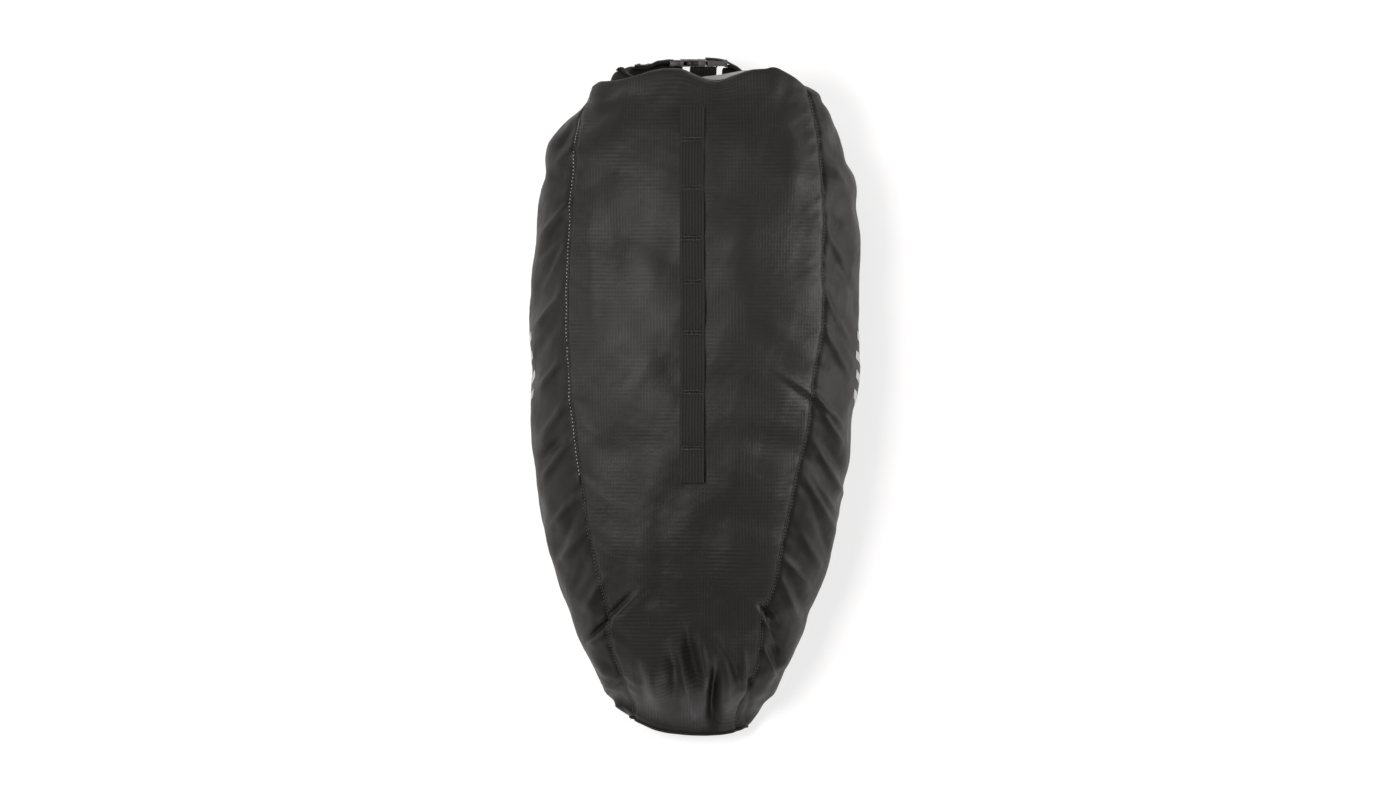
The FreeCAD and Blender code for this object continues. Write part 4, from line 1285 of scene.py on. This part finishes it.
def make_closure_webbing(materials):
    """The buckle's tab, the strap from the other arm to the plug, its loose end and the bartacks."""
    mid = BUCKLE_LOW + 0.8
    bar_y = BUCKLE_LOW + BUCKLE_THICK / 2 + 0.2
    bar_x, reach = -18.5, 2.5
    loop = [(-52, mid), (-42, mid), (-36, mid + 1.2), (-32, mid + 3.2), (-27, mid + 4.3), (-23.2, mid + 4.7),
            (-21.4, mid + 4.2), (-20.2, bar_y - reach), (bar_x, bar_y - reach)]
    loop += [(bar_x + reach * math.cos(a), bar_y + reach * math.sin(a)) for a in (-0.8, 0, 0.8)]
    loop += [(bar_x, bar_y + reach + 0.3), (-23, bar_y + reach + 0.4), (-27.5, mid + 5.4),
             (-31.5, mid + 4.9), (-35.5, mid + 3.0), (-40, mid + 1.9), (-50.5, mid + 1.75)]
    across = np.array([0, 0, 1.0])
    tab = webbing_object("buckle_tab_webbing", [leaned_ribbon(local_path(loop), across)])
    dress(tab, "closure", "webbing", materials["webbing"], "buckle_tab")
    top = BUCKLE_LOW + BUCKLE_THICK + 0.9
    under = [(62, 265.6), (50, 265.6), (42, 265.6), (39, 266.3), (36.2, 268.5), (34, 270.1), (30.5, 272.0),
             (28, 272.5), (25.6, 272.5), (24.2, 273.2), (23.6, 275.0), (22.6, top - 2.2), (20.5, top - 1.6),
             (18.4, top - 2.6), (17.9, mid + 0.6)]
    over = [(58, 267.1), (46, 267.1), (42, 267.0), (39.5, 267.6), (36.8, 269.9), (34.5, 271.6), (31, 273.4),
            (28, 275.0), (26, 276.1), (21, top - 0.9), (14, top - 0.2), (8.6, top + 0.1)]
    strap_piece = webbing_object("adjuster_strap_webbing", [leaned_ribbon(local_path(path), across)
                                                            for path in (under, over)])
    dress(strap_piece, "closure", "webbing", materials["webbing"], "adjuster_strap")
    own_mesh(strap_piece)
    top = BUCKLE_LOW + BUCKLE_FLOAT - 0.9
    tail = [(6.9, top, ARM_Z + 6), (6.9, top - 1.0, ARM_Z), (6.7, top - 7, ARM_Z - 10),
            (6.2, top - 15, ARM_Z - 24), (5.0, top - 24, ARM_Z - 39.6)]
    path = resample(tail, 1.0)
    sideways = np.tile([-1.0, 0, 0], (len(path), 1))
    piece = webbing_object("strap_tail_webbing", [leaned_ribbon(path, sideways, WEBBING + 2.4)])
    dress(piece, "tail", "webbing", materials["webbing"], "strap_tail")
    width = np.array([0, -math.sin(LEAN), math.cos(LEAN)])
    for node, x, y in (("tab_bartack_1", -47.0, mid + 2.6), ("tab_bartack_2", -38.5, mid + 2.6),
                       ("strap_bartack_1", 48.0, 268.4), ("strap_bartack_2", 57.0, 268.2)):
        centre = lean(np.array([x, y, ARM_Z]))
        tack = bartack(node + "_threads", centre, width, np.array([1.0, 0, 0]), 17.0, 2.2, 70 + len(node))
        dress(tack, "closure", "thread", materials["thread"], node)


def leaned_ribbon(path, across, width=WEBBING):
    """Webbing along a path of the upright layout, in its place on the bag."""
    points, faces, weave = ribbon(path, np.broadcast_to(across, path.shape), width, WEBBING_THICK)
    return lean(points), faces, weave


def moulded(name, blocks, bevel):
    """One moulded piece from bevelled prisms: each is an (x, z) outline between two heights."""
    made = bmesh.new()
    for outline, low, high, soft in blocks:
        part = bmesh.new()
        rings = []
        for y in (low, high):
            ring = [(x, y, z) for x, z in outline]
            rings.append([part.verts.new(Vector(p) * MM) for p in lean(np.array(ring)).tolist()])
        part.faces.new(rings[0])
        part.faces.new(rings[1][::-1])
        count = len(outline)
        for k in range(count):
            part.faces.new((rings[0][k], rings[1][k], rings[1][(k + 1) % count], rings[0][(k + 1) % count]))
        bmesh.ops.recalc_face_normals(part, faces=part.faces)
        bmesh.ops.bevel(part, geom=part.edges[:], offset=soft * bevel * MM, segments=BEVEL_SEGMENTS,
                        profile=0.5, affect="EDGES", clamp_overlap=True)
        mesh = bpy.data.meshes.new("part")
        part.to_mesh(mesh)
        made.from_mesh(mesh)
        bpy.data.meshes.remove(mesh)
        part.free()
    mesh = bpy.data.meshes.new(name)
    made.to_mesh(mesh)
    made.free()
    mesh.polygons.foreach_set("use_smooth", [True] * len(mesh.polygons))
    return put_in_scene(name, mesh)


def rounded(x0, x1, z0, z1, radius=0.0):
    """A rounded rectangle in the buckle's plan, centred on its own line."""
    if radius == 0:
        corners = [(x0, z0), (x1, z0), (x1, z1), (x0, z1)]
    else:
        corners = []
        for cx, cz, start in ((x1 - radius, z0 + radius, -90), (x1 - radius, z1 - radius, 0),
                              (x0 + radius, z1 - radius, 90), (x0 + radius, z0 + radius, 180)):
            for k in range(CORNER_STEPS + 1):
                turn = math.radians(start + 90 * k / CORNER_STEPS)
                corners.append((cx + radius * math.cos(turn), cz + radius * math.sin(turn)))
    return [(x, ARM_Z + z) for x, z in corners]


def make_buckle(materials):
    """The side-release buckle: socket, plug and the plug's two prongs."""
    low, high = BUCKLE_LOW + BUCKLE_FLOAT, BUCKLE_LOW + BUCKLE_THICK
    blocks = []
    for y0, y1 in ((low, low + 1.1), (high - 1.1, high)):
        blocks.append((rounded(-12.0, 9.0, -12.2, 12.2, 2.0), y0, y1, 1.0))
        blocks.append((rounded(2.0, 9.0, -14.5, 14.5, 1.6), y0, y1, 1.0))
        blocks.append((rounded(-12.5, -7.8, -14.3, 14.3, 1.8), y0, y1, 1.0))
    blocks.append((rounded(-12.6, -9.4, -14.0, 14.0, 1.2), low + 0.6, high - 0.6, 1.0))
    for sign in (-1, 1):
        a, b = sorted((sign * 13.5, sign * 14.5))
        blocks.append((rounded(3.0, 8.9, a, b), low + 0.7, high - 0.7, 0.6))
        a, b = sorted((sign * 10.9, sign * 13.5))
        blocks.append((rounded(-20.6, -11.6, a, b), low + 0.4, high - 0.8, 1.0))
    blocks.append((rounded(-20.0, -17.0, -11.4, 11.4), low + 0.5, high - 2.3, 1.6))
    for z in (-6.0, -3.0, 0.0, 3.0, 6.0):
        blocks.append((rounded(-6.4, -1.0, z - 0.45, z + 0.45), high - 0.2, high + 0.25, 0.3))
    for z in (-3.8, 3.8):
        blocks.append((rounded(-10.5, 8.6, z - 0.6, z + 0.6), low + 0.9, high - 0.9, 0.3))
    blocks.append((rounded(-20.3, -11.6, -1.2, 1.2), low + 1.4, high - 1.4, 0.6))
    socket = moulded("buckle_socket_body", blocks, 0.45)
    dress(socket, "closure", "buckle_plastic", materials["plastic"], "buckle_socket")
    blocks = [(rounded(9.3, 16.4, -13.5, 13.5, 1.0), high - 1.5, high - 0.1, 0.8),
              (rounded(9.3, 16.4, -13.5, 13.5, 1.0), low + 0.1, low + 1.4, 0.8),
              (rounded(10.6, 16.4, -13.2, 13.2, 0.6), low + 0.4, high - 0.4, 0.8),
              (rounded(25.0, 27.0, -13.5, 13.5, 0.8), low + 1.2, high - 2.3, 1.0),
              (rounded(19.5, 22.0, -10.6, 10.6), low + 0.8, low + 2.8, 1.6),
              (rounded(-6.0, 12.0, -2.4, 2.4, 0.9), low + 1.5, low + 3.8, 0.8)]
    for sign in (-1, 1):
        a, b = sorted((sign * 10.5, sign * 13.5))
        blocks.append((rounded(14.0, 27.0, a, b, 0.8), low + 0.5, high - 0.5, 1.0))
    for x in (10.6, 12.0, 13.4):
        blocks.append((rounded(x - 0.35, x + 0.35, -10, 10), high - 0.4, high + 0.1, 0.3))
    plug = moulded("buckle_plug_body", blocks, 0.45)
    dress(plug, "plug", "buckle_plastic", materials["plastic"], "buckle_plug")
    for name, sign in (("front", 1), ("rear", -1)):
        outline = [(11.6, 7.9), (11.6, 10.1), (4.0, 10.2), (-0.5, 10.5), (-2.8, 11.4), (-3.0, 13.1),
                   (-4.2, 13.2), (-5.4, 12.7), (-6.6, 11.4), (-7.0, 9.6), (-6.4, 8.2), (-3.0, 7.8)]
        outline = [(x, ARM_Z + sign * z) for x, z in outline]
        arm = moulded("prong_%s_arm" % name, [(outline, low + 1.5, low + 3.8, 1.0)], 0.35)
        dress(arm, "prong_" + name, "buckle_plastic", materials["plastic"], "prong_" + name)


# ---- floor, lights and camera, in metres and watts ----------------------------
FLOOR_HALF = 6.0
FLOOR_Z = -0.0004         # just under the bag
WORLD_LIGHT = 0.07
KEY_LIGHT = 18.0
LEFT_LIGHT = 51.0
LEFT_RIM_LIGHT = 13.0
RIGHT_LIGHT = 47.0
NOSE_LIGHT = 7.5
LAMP_COLOUR = (1.0, 0.955, 0.945)
SENSOR_WIDTH = 36.0       # millimetres
CAMERA_DISTANCE = 9.0
VIEW_HEIGHT = 0.063       # the bag is widest at this height,
VIEW_WIDTH = 1.166        # where the picture is this wide
VIEW_CENTRE = (0.0042, -0.0025)


# ---- assembly -----------------------------------------------------------------
def make_materials():
    """Fabrics: name, level, warmth, ripstop grid, roughness, sheen, shine. Others: name, level, warmth."""
    return {
        "ripstop": fabric_material("ripstop_nylon", 0.0115, 0.06, 1.0, 0.50, 0.0),
        "coated": fabric_material("coated_nylon", 0.008, 0.10, 0.0, 0.62, 0.0, 0.16),
        "side": fabric_material("side_nylon", 0.010, 0.12, 0.0, 0.49, 0.0, 0.22),
        "tape": fabric_material("seam_nylon", 0.009, 0.03, 0.0, 0.62, 0.02),
        "lining": fabric_material("pale_lining", 0.34, 0.0, 0.0, 0.5, 0.0),
        "webbing": webbing_material("nylon_webbing", 0.020, 0.08),
        "thread": thread_material("black_thread", 0.045),
        "highlit_thread": thread_material("grey_thread_painted_highlight", 0.45),
        "plastic": plastic_material("acetal", 0.032, 0.05, 0.5),
        "ink": reflective_material("reflective_ink"),
        "stiffener": plastic_material("stiffener_strip", 0.02, 0.01, 0.5),
    }


def dress_cad_node(node, material):
    """A carried-over CAD piece gets its procedural material."""
    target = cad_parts[node]
    target.data.materials.clear()
    target.data.materials.append(material)


def make_bag():
    materials = make_materials()
    grids = make_panels(materials)
    make_seams(grids, materials)
    make_nose(grids, materials)
    tree = surface_tree(grids, ["front_panel"])
    make_daisy_chain(tree, materials)
    make_reflective_bars(grids, materials)
    make_roll(materials)
    make_top_gather(materials)
    make_mouth_lip(materials)
    make_end_sleeve(materials)
    make_closure_webbing(materials)
    make_buckle(materials)
    dress_cad_node("mouth_stiffener", materials["stiffener"])


def make_floor():
    """A pale sheet that glows a little, so that it stays nearly white around the bag."""
    nodes = Nodes("pale_floor")
    cloud = nodes.noise(nodes.add("ShaderNodeTexCoord").outputs["Object"], 2.0, 2.0)
    colour = nodes.mix(cloud, grey(0.36), grey(0.39))
    nodes.finish(colour, 0.9, None, Specular_IOR_Level=0.1, Emission_Color=grey(1.0), Emission_Strength=0.715)
    mesh = bpy.data.meshes.new("floor")
    corners = ((-1, -1), (1, -1), (1, 1), (-1, 1))
    mesh.from_pydata([(x * FLOOR_HALF, y * FLOOR_HALF, FLOOR_Z) for x, y in corners], [], [(0, 1, 2, 3)])
    mesh.materials.append(nodes.material)
    floor = put_in_scene("floor", mesh)


def area_light(name, place, target, size, power):
    """A square lamp that faces its target."""
    data = bpy.data.lights.new(name, "AREA")
    data.size = size
    data.energy = power
    data.color = LAMP_COLOUR
    lamp = put_in_scene(name, data)
    lamp.location = place
    lamp.rotation_euler = (Vector(target) - Vector(place)).to_track_quat("-Z", "Y").to_euler()


def make_light_and_camera():
    world = bpy.data.worlds.new("studio")
    world.use_nodes = True
    background = world.node_tree.nodes["Background"]
    background.inputs["Color"].default_value = (1, 1, 1, 1)
    background.inputs["Strength"].default_value = WORLD_LIGHT
    bpy.context.scene.world = world
    area_light("key", (-0.7, 1.7, 2.6), (0, 0, 0.1), 1.2, KEY_LIGHT)
    area_light("left_box", (-1.05, 0.2, 2.55), (0, 0, 0.1), 0.8, LEFT_LIGHT)
    area_light("right_rim", (2.4, 0.3, 0.65), (0, 0, 0.08), 0.9, RIGHT_LIGHT)
    area_light("left_rim", (-2.3, -0.3, 0.8), (0, 0, 0.08), 0.9, LEFT_RIM_LIGHT)
    area_light("nose_fill", (0.5, -2.4, 0.4), (0, -0.2, 0.05), 0.6, NOSE_LIGHT)
    data = bpy.data.cameras.new("camera")
    data.sensor_width = SENSOR_WIDTH
    data.lens = SENSOR_WIDTH * CAMERA_DISTANCE / VIEW_WIDTH
    data.clip_end = 50.0
    camera = put_in_scene("camera", data)
    camera.location = (VIEW_CENTRE[0], VIEW_CENTRE[1], VIEW_HEIGHT + CAMERA_DISTANCE)
    bpy.context.scene.camera = camera
    bpy.context.scene.view_settings.view_transform = "Standard"


make_bag()
make_floor()
make_light_and_camera()
